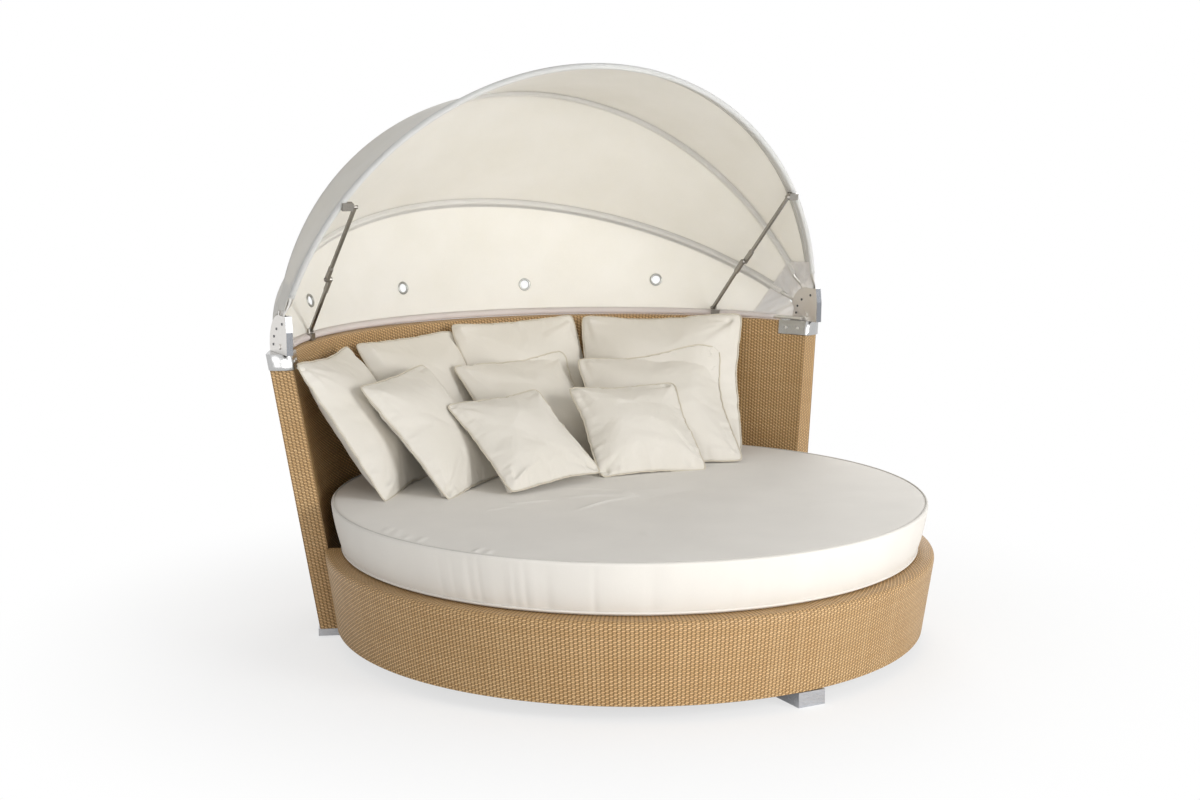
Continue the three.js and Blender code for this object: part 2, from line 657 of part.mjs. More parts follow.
// The outer plate's front edge is bent over towards the inner plate
function plateEdge(side) {
  const front = [
    [-plateFront - plateBulge, plateFoot],
    [-plateFront - plateBulge * 1.2, plateRadius * 0.5],
    [-plateFront, plateRadius],
  ];
  const behind = front.map(([back, up]) => [back + plateThickness, up]).reverse();
  const from = plateInside + plateThickness + seatGap;
  return swept([...front, ...behind], 1, (share, back, up) => point(
    side * lerp(from, plateOutside + half(plateThickness), share), pinBack + back, pinHeight + up));
}
const rivetPlaces = [[-0.27, 0.74], [0.28, 0.54], [0.54, 0.28], [0.62, 0.02]];
[['left', -1], ['right', 1]].forEach(([name, side]) => {
  place(`hinge_clamp_${name}`, geometryOf(clampShape(side)), 'steel');
  const bore = solid(pinLine(side, pinRadius + runningGap, plateInside - overrun, plateOutside + 2 * overrun));
  [['inner', plateInside, -1], ['outer', plateOutside, 1]].forEach(([which, inner, out]) => {
    const face = inner + (out > 0 ? plateThickness : 0);
    const heads = rivetPlaces.map(([back, up]) => {
      const spot = point(side * face, pinBack + plateRadius * back, pinHeight + plateRadius * up);
      const tip = spot.clone().setX(side * (face + out * rivetHeight));
      return rod(spot.setX(side * (face - out)), tip, rivetRadius, 10);
    });
    const edges = out > 0 ? [plateEdge(side)] : [];
    place(`hinge_plate_${which}_${name}`,
      geometryOf(cut(join(plateShape(side, inner), ...edges, ...heads), bore)), 'steel');
  });
  const outer = plateOutside + plateThickness + seatGap;
  const inner = plateInside - seatGap;
  place(`hinge_pin_${name}`, geometryOf(join(
    pinLine(side, pinRadius, inner - pinHeadThickness, outer + pinHeadThickness),
    pinLine(side, pinHeadRadius, inner - pinHeadThickness, inner, 18),
    pinLine(side, pinHeadRadius, outer, outer + pinHeadThickness, 18),
  )), 'steel');
  screwPlaces.forEach((distance, k) => {
    const z = wallTop - half(clampHeight);
    const angle = side * (wallEnd(wallTop) - distance / wallRadius(wallTop));
    const seat = -clampSide - half(clampThickness) - seatGap;
    const lean = screwHeight * (wallTopRadius - wallFootRadius) / (wallTop - wallBottom);
    place(`clamp_screw_${name}_${k + 1}`, rod(
      wallPoint(angle, seat, z), wallPoint(angle, seat - screwHeight, z + lean), screwRadius, 12), 'steel');
  });
});

// Folding stays: an upper and a lower link, lapped side by side at the elbow
const upperPlane = stayAcross + half(linkSpacing);
const lowerPlane = stayAcross - half(linkSpacing);
const railRadius = half(railAcross ** 2 / railReach + railReach);
const railBackAt = (x) => pinBack + railReach - railRadius + Math.sqrt(railRadius ** 2 - x ** 2);
const stayFootBack = railBackAt(lowerPlane);
const stayTop = [stayTopBack, stayTopHeight];
const stayFoot = [stayFootBack, stayFootHeight];
const elbow = [
  lerp(stayTopBack, stayFootBack, elbowShare) + elbowOut,
  lerp(stayTopHeight, stayFootHeight, elbowShare) + elbowOut,
];
function linkShape(side, from, to, plane, headSide) {
  const length = Math.hypot(to[0] - from[0], to[1] - from[1]);
  const turn = Math.atan2(to[1] - from[1], to[0] - from[0]);
  const thin = half(linkWidth);
  const wide = half(elbowWidth);
  const outline = [];
  for (let k = 0; k <= 8; k += 1) {
    const around = Math.PI / 2 + (Math.PI * k) / 8;
    outline.push([thin * Math.cos(around), thin * Math.sin(around)]);
  }
  outline.push([length - elbowLength, -thin], [length - elbowLength + thin, -wide]);
  for (let k = 0; k <= 8; k += 1) {
    const around = -Math.PI / 2 + (Math.PI * k) / 8;
    outline.push([length + wide * Math.cos(around), wide * Math.sin(around)]);
  }
  outline.push([length - elbowLength + thin, wide], [length - elbowLength, thin]);
  const at = (along, across, x) => point(side * x,
    from[0] + along * Math.cos(turn) - across * Math.sin(turn),
    from[1] + along * Math.sin(turn) + across * Math.cos(turn));
  const bar = swept(outline, 1, (share, along, across) => at(along, across,
    plane + lerp(-0.5, 0.5, share) * (linkSpacing - 2 * softGap)));
  const face = plane + headSide * half(linkSpacing - 2 * softGap);
  const head = rod(at(length, 0, face - headSide), at(length, 0, face + headSide * stayHeadThickness),
    stayHeadRadius, 14);
  const bore = rod(at(0, 0, plane - linkSpacing), at(0, 0, plane + linkSpacing),
    stayPinRadius + runningGap, 16);
  return geometryOf(cut(join(bar, head), solid(bore)));
}
const stayPin = (side, [back, up], from, to) => rod(
  point(side * from, back, up), point(side * to, back, up), stayPinRadius, 16);
const stayHead = (side, [back, up], from, to) => rod(
  point(side * from, back, up), point(side * to, back, up), stayHeadRadius, 14);
[['left', -1], ['right', 1]].forEach(([name, side]) => {
  place(`stay_upper_${name}`, linkShape(side, stayTop, elbow, upperPlane, 1), 'steel');
  place(`stay_lower_${name}`, linkShape(side, stayFoot, elbow, lowerPlane, -1), 'steel');

  // Clip on the front bow: a saddle on the inner side of the tube, with the pin of the upper link
  const rise = Math.hypot(stayTopBack - pinBack, stayTopHeight - pinHeight);
  const [clipOuter] = bows.front.at(bows.front.start(rise));
  const upperOuter = upperPlane + half(linkSpacing) - softGap + seatGap;
  const upperInner = upperPlane - half(linkSpacing) + softGap - seatGap;
  const centre = tilted(0, rise, bows.front.tilt);
  const middle = [half(centre.y + stayTopBack), half(centre.z + stayTopHeight)];
  const block = new THREE.BoxGeometry(clipOuter - upperOuter, clipSize, clipSize)
    .rotateX(deg(frontTilt)).translate(side * half(clipOuter + upperOuter), middle[0], middle[1]);
  place(`stay_clip_${name}`, mainBody(geometryOf(cut(
    join(
      block,
      stayPin(side, stayTop, upperOuter + overrun, upperInner - stayHeadThickness),
      stayHead(side, stayTop, upperInner, upperInner - stayHeadThickness),
    ),
    solid(bowTubeShape(bows.front, half(bowTube) + seatGap)),
  ))), 'steel');

  // Saddle on the rail, with an ear and the pin of the lower link
  const lowerOuter = lowerPlane + half(linkSpacing) - softGap + seatGap;
  const lowerInner = lowerPlane - half(linkSpacing) + softGap - seatGap;
  const ear = lowerOuter + half(stayBracketThickness);
  const seat = wallTop + seatGap;
  const earLow = railHeight + half(bowTube);
  const earHigh = stayFootHeight + half(earWidth) - earLow;
  const railTurn = Math.asin(ear / railRadius);
  const saddleHigh = railHeight + half(bowTube) + saddleTop - seat;
  const saddle = new THREE.BoxGeometry(saddleLength, saddleInside + saddleOutside, saddleHigh)
    .translate(0, half(saddleOutside - saddleInside), 0).rotateZ(-side * railTurn)
    .translate(side * ear, railBackAt(ear), seat + half(saddleHigh));
  place(`stay_bracket_${name}`, geometryOf(cut(
    join(
      box(stayBracketThickness, earWidth, earHigh, side * ear, stayFootBack - earShift,
        earLow + half(earHigh)),
      saddle,
      stayPin(side, stayFoot, ear, lowerInner - stayHeadThickness),
      stayHead(side, stayFoot, lowerInner, lowerInner - stayHeadThickness),
    ),
    solid(swept(ringOutline(half(bowTube) + seatGap, tubeSides), railSteps, railPoint)),
  )), 'steel');
});

// Canopy cloth: three panels, each stretched from bow to bow, lying on the outside of the tubes
const clothOut = half(bowTube) + softGap;
const bowLine = (bow) => (share) => {
  const first = bow.start(clothClearHinge);
  const [x, rise] = bow.at(lerp(-first, first, share));
  return tilted(x, rise, bow.tilt);
};
const railLine = (share) => {
  const first = rail.start(clothClearHinge);
  const [x, rise] = rail.at(lerp(-first, first, share));
  return point(x, pinBack + rise, railHeight);
};
function panelPoint(lineA, lineB, share, rise, off) {
  const at = (s, r) => lineA(s).lerp(lineB(s), r);
  const step = 0.01;
  const s0 = Math.max(0, share - step);
  const s1 = Math.min(1, share + step);
  const along = at(s1, rise).sub(at(s0, rise));
  const up = lineB(share).sub(lineA(share));
  const out = along.cross(up).normalize();
  const hub = point(0, pinBack, pinHeight);
  if (out.dot(at(share, rise).sub(hub)) < 0) out.negate();
  return at(share, rise).addScaledVector(out, off);
}
function panelShape(lineA, lineB, across, rows) {
  const edge = (share) => clothSeam / lineA(share).distanceTo(lineB(share));
  const grid = [];
  const inner = clothOut;
  const outer = clothOut + clothThickness;
  for (let j = 0; j <= rows; j += 1) grid.push([j / rows, inner]);
  for (let j = rows; j >= 0; j -= 1) grid.push([j / rows, outer]);
  const flat = grid.map(([rise, off]) => [rise * rows, off]);
  return swept(flat, across, (share, row, off) => {
    const trim = edge(share);
    return panelPoint(lineA, lineB, share, lerp(trim, 1 - trim, row / rows), off);
  });
}
const panelSteps = 32;
const panels = {
  front: [bowLine(bows.front), bowLine(bows.middle)],
  middle: [bowLine(bows.middle), bowLine(bows.rear)],
  rear: [railLine, bowLine(bows.rear)],
};
place('canopy_front', panelShape(...panels.front, panelSteps, 3), 'cloth');
place('canopy_middle', panelShape(...panels.middle, panelSteps, 3), 'cloth');

// Eyelets through the rear panel: place along it and up it
const eyeletShares = [[0.154, 0.48], [0.366, 0.3], [0.578, 0.26], [0.786, 0.41]];
const eyeletCuts = [];
eyeletShares.forEach(([share, rise], k) => {
  const middle = clothOut + half(clothThickness);
  const spot = panelPoint(...panels.rear, share, rise, middle);
  const out = panelPoint(...panels.rear, share, rise, middle + 1).sub(spot).normalize();
  const turn = new THREE.Quaternion().setFromUnitVectors(point(0, 1, 0), out);
  const seat = half(clothThickness) + eyeletSeat;
  const ringShape = new THREE.LatheGeometry([
    [eyeletBore, -seat - eyeletFlange], [eyeletRadius, -seat - eyeletFlange], [eyeletRadius, -seat],
    [eyeletBarrel, -seat], [eyeletBarrel, seat], [eyeletRadius, seat], [eyeletRadius, seat + eyeletFlange],
    [eyeletBore, seat + eyeletFlange], [eyeletBore, -seat - eyeletFlange],
  ].map(([radius, height]) => new THREE.Vector2(radius, height)), 18)
    .applyQuaternion(turn).translate(spot.x, spot.y, spot.z);
  place(`eyelet_${k + 1}`, geometryOf(solid(ringShape)), 'steel');
  eyeletCuts.push(solid(rod(spot.clone().addScaledVector(out, -overrun),
    spot.clone().addScaledVector(out, overrun), eyeletBarrel + seatGap, 18)));
});
place('canopy_rear', geometryOf(cut(solid(panelShape(...panels.rear, panelSteps, 3)), ...eyeletCuts)), 'cloth');

// The origin is the middle of the footprint, on the ground
const bounds = new THREE.Box3().setFromObject(model);
model.position.set(0, -half(bounds.min.y + bounds.max.y), 0);
model.updateMatrixWorld(true);

export default model;
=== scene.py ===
"""Looks of the round outdoor daybed: plaited base and back wall, round mattress, nine pillows, cloth canopy.

Metres, +Z up, the open front towards -Y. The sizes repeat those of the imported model.
"""

import itertools
from math import acos, atan2, cos, exp, hypot, pi, radians, sin, sqrt

import bpy
import numpy as np
from mathutils import Matrix, Vector
from mathutils.bvhtree import BVHTree

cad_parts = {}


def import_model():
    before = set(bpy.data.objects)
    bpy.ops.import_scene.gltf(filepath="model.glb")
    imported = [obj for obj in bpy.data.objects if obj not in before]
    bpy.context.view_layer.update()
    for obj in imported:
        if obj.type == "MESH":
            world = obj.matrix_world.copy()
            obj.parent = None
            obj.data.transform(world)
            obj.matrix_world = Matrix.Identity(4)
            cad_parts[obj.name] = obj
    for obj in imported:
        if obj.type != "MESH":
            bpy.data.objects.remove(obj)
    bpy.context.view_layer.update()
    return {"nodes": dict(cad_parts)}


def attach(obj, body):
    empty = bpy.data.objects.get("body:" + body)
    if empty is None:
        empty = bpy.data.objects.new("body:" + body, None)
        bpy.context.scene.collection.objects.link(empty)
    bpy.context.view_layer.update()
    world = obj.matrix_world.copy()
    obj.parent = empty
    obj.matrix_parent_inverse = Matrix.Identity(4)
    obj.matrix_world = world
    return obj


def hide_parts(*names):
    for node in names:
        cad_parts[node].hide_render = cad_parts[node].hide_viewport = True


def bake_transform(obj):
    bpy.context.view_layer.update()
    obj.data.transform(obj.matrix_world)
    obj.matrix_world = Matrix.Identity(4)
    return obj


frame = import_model()
nodes = frame["nodes"]

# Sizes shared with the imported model
shift_back = -0.11385
mattress_radius = 0.901
mattress_foot = 0.2803
mattress_edge = 0.4303
mattress_crown = 0.006
mattress_seam = 0.900
wall_axis = 0.015 + shift_back
wall_low, wall_high = 0.028, 0.866
wall_foot_radius, wall_top_radius = 0.908, 1.047
wall_foot_angle, wall_top_angle = radians(69.5), radians(67.3)
wall_side, wall_edge = 0.035, 0.010
base_low, base_high = 0.0423, 0.280
base_foot_radius, base_top_radius, base_edge = 0.896, 0.930, 0.020
skirt_thick, skirt_gap = 0.012, 0.014
deck_radius = 0.861
pin_height = 0.890
pin_back = 0.41904 + shift_back
bow_across = 0.9659
hinge_across = bow_across - 0.0139
# from the middle of the hinge to a plate's outer face
plate_out = 0.0101
tube_radius = 0.007
# the bows' flattened ends: length, where they start to bend, half the width and half the thickness
strap_length, strap_bend, strap_half, strap_thin = 0.150, 0.095, 0.010, 0.0018
bow_reach = {"front": 0.8955 * bow_across, "middle": 0.85 * bow_across, "rear": 0.8521 * bow_across}
bow_tilt = {"front": radians(16), "middle": radians(-22.8), "rear": radians(-62.4)}
bow_plane = {"front": 0.0044, "middle": 0.0, "rear": -0.0044}
rail_across = hinge_across - 0.018
rail_reach = wall_axis + wall_top_radius + 0.021 - pin_back
rail_height = 0.8761
# where the cloth starts above the pins, and how far it stands off the bows' middle lines
cloth_clear, cloth_off = 0.112, 0.0078
# how much further in pockets, stitching and the patches at the hinges lie
pocket_in, seam_in, patch_in = 0.0014, 0.0019, 0.0022
patch_foot = {"front": (0.091, 0.091), "middle": (0.091, 0.091), "rear": (0.050, 0.086)}
# the plait's upright strands stand 11 mm apart, the level ones 5.3 mm
strand_pitch = (0.011, 0.0053, 1.0)
strand_slant = 0.5


def srgb(code):
    """An sRGB hex colour as linear red, green, blue and alpha."""
    parts = [int(code[i:i + 2], 16) / 255 for i in (0, 2, 4)]
    return [p / 12.92 if p <= 0.04045 else ((p + 0.055) / 1.055) ** 2.4 for p in parts] + [1.0]


def lerp(a, b, share):
    return a + (b - a) * share


def smooth(share):
    share = min(1.0, max(0.0, share))
    return share * share * (3 - 2 * share)


def new_object(name, data):
    """An object in the scene."""
    thing = bpy.data.objects.new(name, data)
    bpy.context.scene.collection.objects.link(thing)
    return thing


# Materials

def add(tree, kind, inputs=(), **settings):
    """Adds one node with its settings; an input is a value, an output, or a node for its first output."""
    made = tree.nodes.new("ShaderNode" + kind)
    for key, value in settings.items():
        setattr(made, key, value)
    for key, value in dict(inputs).items():
        if isinstance(value, bpy.types.Node):
            value = value.outputs[0]
        if isinstance(value, bpy.types.NodeSocket):
            tree.links.new(value, made.inputs[key])
        else:
            made.inputs[key].default_value = value
    return made


def start_material(name, **constants):
    """A material with a Principled shader, whose sockets get the given constants."""
    material = bpy.data.materials.new(name)
    material.use_nodes = True
    shader = material.node_tree.nodes["Principled BSDF"]
    for key, value in constants.items():
        shader.inputs[key.replace("_", " ")].default_value = value
    return material, material.node_tree, shader


def surface(material, tree, shader, **outputs):
    """The material with the given outputs linked to its shader."""
    for key, output in outputs.items():
        tree.links.new(output, shader.inputs[key.replace("_", " ")])
    return material


def plaited_strand():
    """Round-edged polyethylene strand, plain weave: satin, each strand a little lighter or darker, with
    painted shade in its low parts and gaps and a painted highlight on its tops.
    """
    material, tree, shader = start_material("plaited_polyethylene", Roughness=0.5, IOR=1.5)
    place = add(tree, "UVMap", uv_map="strand")
    size = add(tree, "VectorMath", {0: place, 1: [1 / pitch for pitch in strand_pitch]}, operation="MULTIPLY")
    axes = add(tree, "SeparateXYZ", {0: size})
    # each level strand rises a little to the right where it crosses over an upright one
    slant = add(tree, "Math", {0: axes}, operation="FRACT")
    slant = add(tree, "Math", {0: slant, 1: -strand_slant, 2: axes.outputs[1]}, operation="MULTIPLY_ADD")
    waves, cells = [], []
    for place_on in (axes, slant):
        part = add(tree, "Math", {0: place_on}, operation="FRACT")
        angle = add(tree, "Math", {0: part, 1: pi}, operation="MULTIPLY")
        waves.append(add(tree, "Math", {0: angle}, operation="SINE"))
        cells.append(add(tree, "Math", {0: place_on}, operation="FLOOR"))
    both = add(tree, "Math", {0: cells[0], 1: cells[1]}, operation="ADD")
    over = add(tree, "Math", {0: both, 1: 2.0}, operation="FLOORED_MODULO")
    # the lower the power, the flatter the strand along its length and across it
    heights = []
    for along, across in ((0, 1), (1, 0)):
        length = add(tree, "Math", {0: waves[along], 1: 0.35}, operation="POWER")
        width = add(tree, "Math", {0: waves[across], 1: 0.75}, operation="POWER")
        heights.append(add(tree, "Math", {0: length, 1: width}, operation="MULTIPLY"))
    # the upright strands lie deeper, and so take more of the painted shade
    upright = add(tree, "Math", {0: heights[1], 1: 0.6}, operation="MULTIPLY")
    height = add(tree, "Mix", {0: over, 2: heights[0], 3: upright}, data_type="FLOAT")
    strands = [add(tree, "TexWhiteNoise", {"W": cell}, noise_dimensions="1D") for cell in cells]
    strand = add(tree, "Mix", {0: over, 2: strands[1], 3: strands[0]}, data_type="FLOAT")
    # weathered patches of about 110 mm
    patches = add(tree, "TexNoise", {"Vector": place, "Scale": 9.0, "Detail": 3.0})
    tone = add(tree, "Math", {0: strand, 1: patches}, operation="ADD")
    tone = add(tree, "MapRange", {0: tone, 1: 0.3, 2: 1.7})
    # the colour runs from painted shade in the strands' low parts and the gaps to each strand's tone on its
    # top, which is lightened in part as a painted highlight
    top = add(tree, "Mix", {0: tone, 6: srgb("D2A973"), 7: srgb("EDC894")}, data_type="RGBA")
    depth = add(tree, "MapRange", {0: height, 1: 0.15, 2: 0.85})
    colour = add(tree, "Mix", {0: depth, 6: srgb("74562C"), 7: top.outputs[2]}, data_type="RGBA")
    bump = add(tree, "Bump", {"Height": height, "Distance": 0.0016, "Strength": 0.8})
    return surface(material, tree, shader, Base_Color=colour.outputs[2], Normal=bump.outputs[0])


def outdoor_cloth(name, low, high, crease=0.0006, sheen=0.15, rough=0.85, glow=0.0):
    """Woven polyester cloth, dull with a faint sheen, in soft folds of 200 mm.

    Its threads of 0.4 mm are too fine to show, and are drawn 1.6 mm apart.
    """
    material, tree, shader = start_material(
        name, Roughness=rough, IOR=1.46, Sheen_Weight=sheen, Sheen_Roughness=0.5, Specular_IOR_Level=0.3,
        Subsurface_Weight=glow, Subsurface_Radius=(1.0, 0.97, 0.9), Subsurface_Scale=0.004)
    place = add(tree, "TexCoord").outputs["Object"]
    folds = add(tree, "TexNoise", {"Vector": place, "Scale": 5.0, "Detail": 4.0})
    threads = add(tree, "TexNoise", {"Vector": place, "Scale": 1 / 0.0016, "Detail": 1.0})
    tone = add(tree, "Math", {0: threads, 1: 0.35}, operation="MULTIPLY")
    tone = add(tree, "Math", {0: folds, 1: 0.65, 2: tone}, operation="MULTIPLY_ADD")
    tone = add(tree, "MapRange", {0: tone, 1: 0.3, 2: 0.7})
    colour = add(tree, "Mix", {0: tone, 6: srgb(low), 7: srgb(high)}, data_type="RGBA")
    soft = add(tree, "Bump", {"Height": folds, "Distance": crease * 12, "Strength": 0.35})
    fine = add(tree, "Bump", {"Height": threads, "Distance": crease * 0.6, "Strength": 0.5, "Normal": soft})
    return surface(material, tree, shader, Base_Color=colour.outputs[2], Normal=fine.outputs[0])


def worked_metal(name, low, high, rough, along, polished=False):
    """Metal whose tone varies in lines and, unless it is polished, its roughness and height too.

    Real brush lines are too fine to show, and are drawn 0.8 mm apart.
    """
    material, tree, shader = start_material(name, Metallic=1.0)
    place = add(tree, "TexCoord").outputs["Object"]
    stretch = add(tree, "VectorMath", {0: place, 1: along}, operation="MULTIPLY")
    lines = add(tree, "TexNoise", {"Vector": stretch, "Scale": 1 / 0.0008, "Detail": 2.0})
    tint = add(tree, "Mix", {0: lines, 6: srgb(low), 7: srgb(high)}, data_type="RGBA")
    if polished:
        shader.inputs["Roughness"].default_value = rough
        return surface(material, tree, shader, Base_Color=tint.outputs[2])
    spread = add(tree, "MapRange", {0: lines, 1: 0.3, 2: 0.7, 3: rough * 0.75, 4: rough * 1.3})
    bump = add(tree, "Bump", {"Height": lines, "Distance": 0.00002, "Strength": 0.4})
    return surface(material, tree, shader, Base_Color=tint.outputs[2], Roughness=spread.outputs[0],
                   Normal=bump.outputs[0])


def grained(name, low, high, grain, rough):
    """Plastic or board: two close tones in a noise of real grain size, as a number of grains to the metre."""
    material, tree, shader = start_material(name, Roughness=rough)
    place = add(tree, "TexCoord").outputs["Object"]
    noise = add(tree, "TexNoise", {"Vector": place, "Scale": grain, "Detail": 4.0})
    colour = add(tree, "Mix", {0: noise, 6: srgb(low), 7: srgb(high)}, data_type="RGBA")
    bump = add(tree, "Bump", {"Height": noise, "Distance": 0.0002, "Strength": 0.3})
    return surface(material, tree, shader, Base_Color=colour.outputs[2], Normal=bump.outputs[0])


plait = plaited_strand()
# Canopy: off-white cloth that glows where daylight comes through. The doubled hem is greyer, and the
# patches at the hinges are silkier and whiter, their whiteness partly painted light against the shade there
canopy_cloth = outdoor_cloth("canopy_polyester", "E2DED4", "EBE7DF", glow=0.6)
hem_cloth = outdoor_cloth("canopy_hem_polyester", "D3D2CE", "DEDDD8", glow=0.6)
patch_cloth_painted_light = outdoor_cloth("canopy_patch_polyester_painted_light", "EFE8E1", "F6F1EB", sheen=0.4, rough=0.55, glow=0.7)
# The same cloth doubled along the rail, and its thread: darker lines on the pale canopy. Both darker
# tones are painted shade: the rail's pocket for the wall's shade it lies in, the thread for its own shadow
rail_cloth_painted_shade = outdoor_cloth("rail_pocket_polyester_painted_shade", "CFC6C4", "DCD4D0")
seam_cloth_painted_shadow = outdoor_cloth("canopy_seam_thread_painted_shadow", "C4BFB3", "D2CDC2", crease=0.0003)
# Covers: warm and greyish off-white, dull and finely creased. Their piping is coloured darker, a painted
# shade that draws the shadow along the edge
pillow_cloth = outdoor_cloth("pillow_polyester", "DAD5CA", "E3DED5", crease=0.0005)
piping_cloth_painted_shade = outdoor_cloth("pillow_piping_painted_shade", "C9C0AE", "D3CBBB", crease=0.0003)
mattress_cloth = outdoor_cloth("mattress_polyester", "E0DCD5", "E8E4DD", crease=0.0004)
mattress_piping_painted_shade = outdoor_cloth("mattress_piping_painted_shade", "C6C2BB", "D2CEC7", crease=0.0003)
# Aluminium: pale and satin where anodised, a little glossier in lines where brushed, dull where welded
bow_metal = worked_metal("anodised_aluminium", "D2D0CC", "DFDDD8", 0.38, (0.3, 1.0, 1.0))
foot_metal = worked_metal("brushed_aluminium", "B9BBC0", "CFD1D5", 0.32, (0.08, 1.0, 1.0))
frame_metal = worked_metal("welded_aluminium", "8C8E92", "9C9EA2", 0.5, (0.4, 1.0, 1.0))
# Stainless steel: the clamps and plate edges mirror the room softly, the plate edges coloured dark as a
# painted reflection; the plates are bright and brushed, and the stays are darker
clamp_metal = worked_metal("polished_stainless", "B7B7B7", "C0C0BF", 0.22, (1.0, 1.0, 0.2), polished=True)
edge_metal_painted_reflection = worked_metal("polished_plate_edge_painted_reflection", "85878B", "8F9195", 0.24, (1.0, 1.0, 0.1), polished=True)
plate_metal = worked_metal("brushed_stainless", "DAD7D3", "E8E5E1", 0.4, (1.0, 1.0, 0.08))
stay_metal = worked_metal("stay_stainless", "8E8A84", "A39F98", 0.34, (1.0, 0.2, 0.2))
# Rivet heads are dark dots on the plates, their darkness painted shade of the rivet holes, and eyelets
# have nickel's warm shine
rivet_metal_painted_shade = worked_metal("rivet_steel_painted_shade", "55565A", "66676B", 0.35, (1.0, 1.0, 1.0))
eyelet_metal = worked_metal("nickel_plated_brass", "9C9C98", "B2B2AD", 0.3, (1.0, 1.0, 1.0))
# Moulded glides are nearly black and dull, with a grain of 1.7 mm, and the board has brown streaks of 25 mm
glide_plastic = grained("glide_polyethylene", "1C1C1E", "26262A", 600.0, 0.6)
deck_board = grained("deck_plywood", "9A7850", "B08C60", 40.0, 0.7)


# Shapes

def make(name, points, faces, materials, body=None, node=None, angle=35.0, marks=None,
         strand=None):
    """A mesh piece with smooth faces and sharp edges above an angle; marks gives each face's material.

    It rides on a body and stands for a CAD node, where these are given.
    """
    mesh = bpy.data.meshes.new(name)
    mesh.from_pydata([tuple(p) for p in points], [], faces)
    for material in materials if isinstance(materials, list) else [materials]:
        mesh.materials.append(material)
    if strand is not None:
        layer = mesh.uv_layers.new(name="strand")
        for k, uv in enumerate(uv for face in strand for uv in face):
            layer.data[k].uv = uv
    mesh.polygons.foreach_set("use_smooth", [True] * len(mesh.polygons))
    if marks is not None:
        mesh.polygons.foreach_set("material_index", marks)
    mesh.set_sharp_from_angle(angle=radians(angle))
    mesh.update()
    piece = new_object(name, mesh)
    if body:
        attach(piece, body)
    if node:
        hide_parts(node)
    return piece


def solved(piece):
    """The piece as its modifiers leave it."""
    return piece.evaluated_get(bpy.context.evaluated_depsgraph_get())


def apply_modifiers(piece):
    mesh = bpy.data.meshes.new_from_object(solved(piece))
    piece.modifiers.clear()
    piece.data = mesh


def grid_faces(rows, columns, round_rows=False, round_columns=False):
    faces = []
    for i in range(rows if round_rows else rows - 1):
        for j in range(columns if round_columns else columns - 1):
            a, b = i * columns, (i + 1) % rows * columns
            k = (j + 1) % columns
            faces.append((a + j, a + k, b + k, b + j))
    return faces


def end_faces(rings, size):
    """The faces that close a shape of so many rings at both ends."""
    return [tuple(range(size))[::-1], tuple(range((rings - 1) * size, rings * size))]


def two_layers(columns, rows):
    """The faces of two layers of cloth, the second one turned over, and the number of points in each."""
    inner = grid_faces(columns + 1, rows + 1)
    size = (columns + 1) * (rows + 1)
    return inner + [tuple(size + k for k in face[::-1]) for face in inner], size


def rim_of(columns, rows):
    """The places along a grid's rim, in turn."""
    return ([(i, 0) for i in range(columns)] + [(columns, j) for j in range(rows)]
            + [(i, rows) for i in range(columns, 0, -1)] + [(0, j) for j in range(rows, 0, -1)])


def sweep(outline, steps, where):
    """Points, faces and strand coordinates of an outline carried along; where(share, u, v) places it."""
    size = len(outline)
    points = [Vector(where(i / steps, u, v)) for i in range(steps + 1) for u, v in outline]
    around = [0.0]
    for a, b in zip(outline, outline[1:] + outline[:1]):
        around.append(around[-1] + hypot(b[0] - a[0], b[1] - a[1]))
    run = [0.0]
    for i in range(steps):
        ahead = [(points[k + size] - points[k]).length for k in range(i * size, (i + 1) * size)]
        run.append(run[-1] + sum(ahead) / size)
    strand = [[(run[i + a], around[j + b]) for a, b in ((0, 0), (0, 1), (1, 1), (1, 0))]
              for i in range(steps) for j in range(size)]
    faces = grid_faces(steps + 1, size, round_columns=True) + end_faces(steps + 1, size)
    return points, faces, strand + [outline[::-1], outline]


def tube(path, radius, sides, normal, closed=False):
    """Points and faces of a tube along a path; radius is a number, or a pair of half sizes for each point."""
    path = [Vector(p) for p in path]
    count = len(path)
    points = []
    for i, p in enumerate(path):
        before = path[i - 1] if i or closed else p
        after = path[(i + 1) % count] if i < count - 1 or closed else p
        along = (after - before).normalized()
        out = Vector(normal) - along * Vector(normal).dot(along)
        out.normalize()
        side = along.cross(out)
        a, b = radius[i] if isinstance(radius, list) else (radius, radius)
        for k in range(sides):
            turn = 2 * pi * k / sides
            points.append(p + side * (a * cos(turn)) + out * (b * sin(turn)))
    faces = grid_faces(count, sides, round_rows=closed, round_columns=True)
    return points, faces if closed else faces + end_faces(count, sides)


def joined(*shapes):
    """Several (points, faces) put together, and a mark on each face that counts the shapes."""
    points, faces, marks = [], [], []
    for number, (some, polygons) in enumerate(shapes):
        start = len(points)
        points += list(some)
        faces += [tuple(start + k for k in face) for face in polygons]
        marks += [number] * len(polygons)
    return points, faces, marks


# Plaited base and back wall

def wall_radius(z):
    return lerp(wall_foot_radius, wall_top_radius, (z - wall_low) / (wall_high - wall_low))


def wall_end(z):
    return lerp(wall_foot_angle, wall_top_angle, (z - wall_low) / (wall_high - wall_low))


def wall_point(angle, across, z):
    radius = wall_radius(z) + across
    return Vector((radius * sin(angle), wall_axis + radius * cos(angle), z))


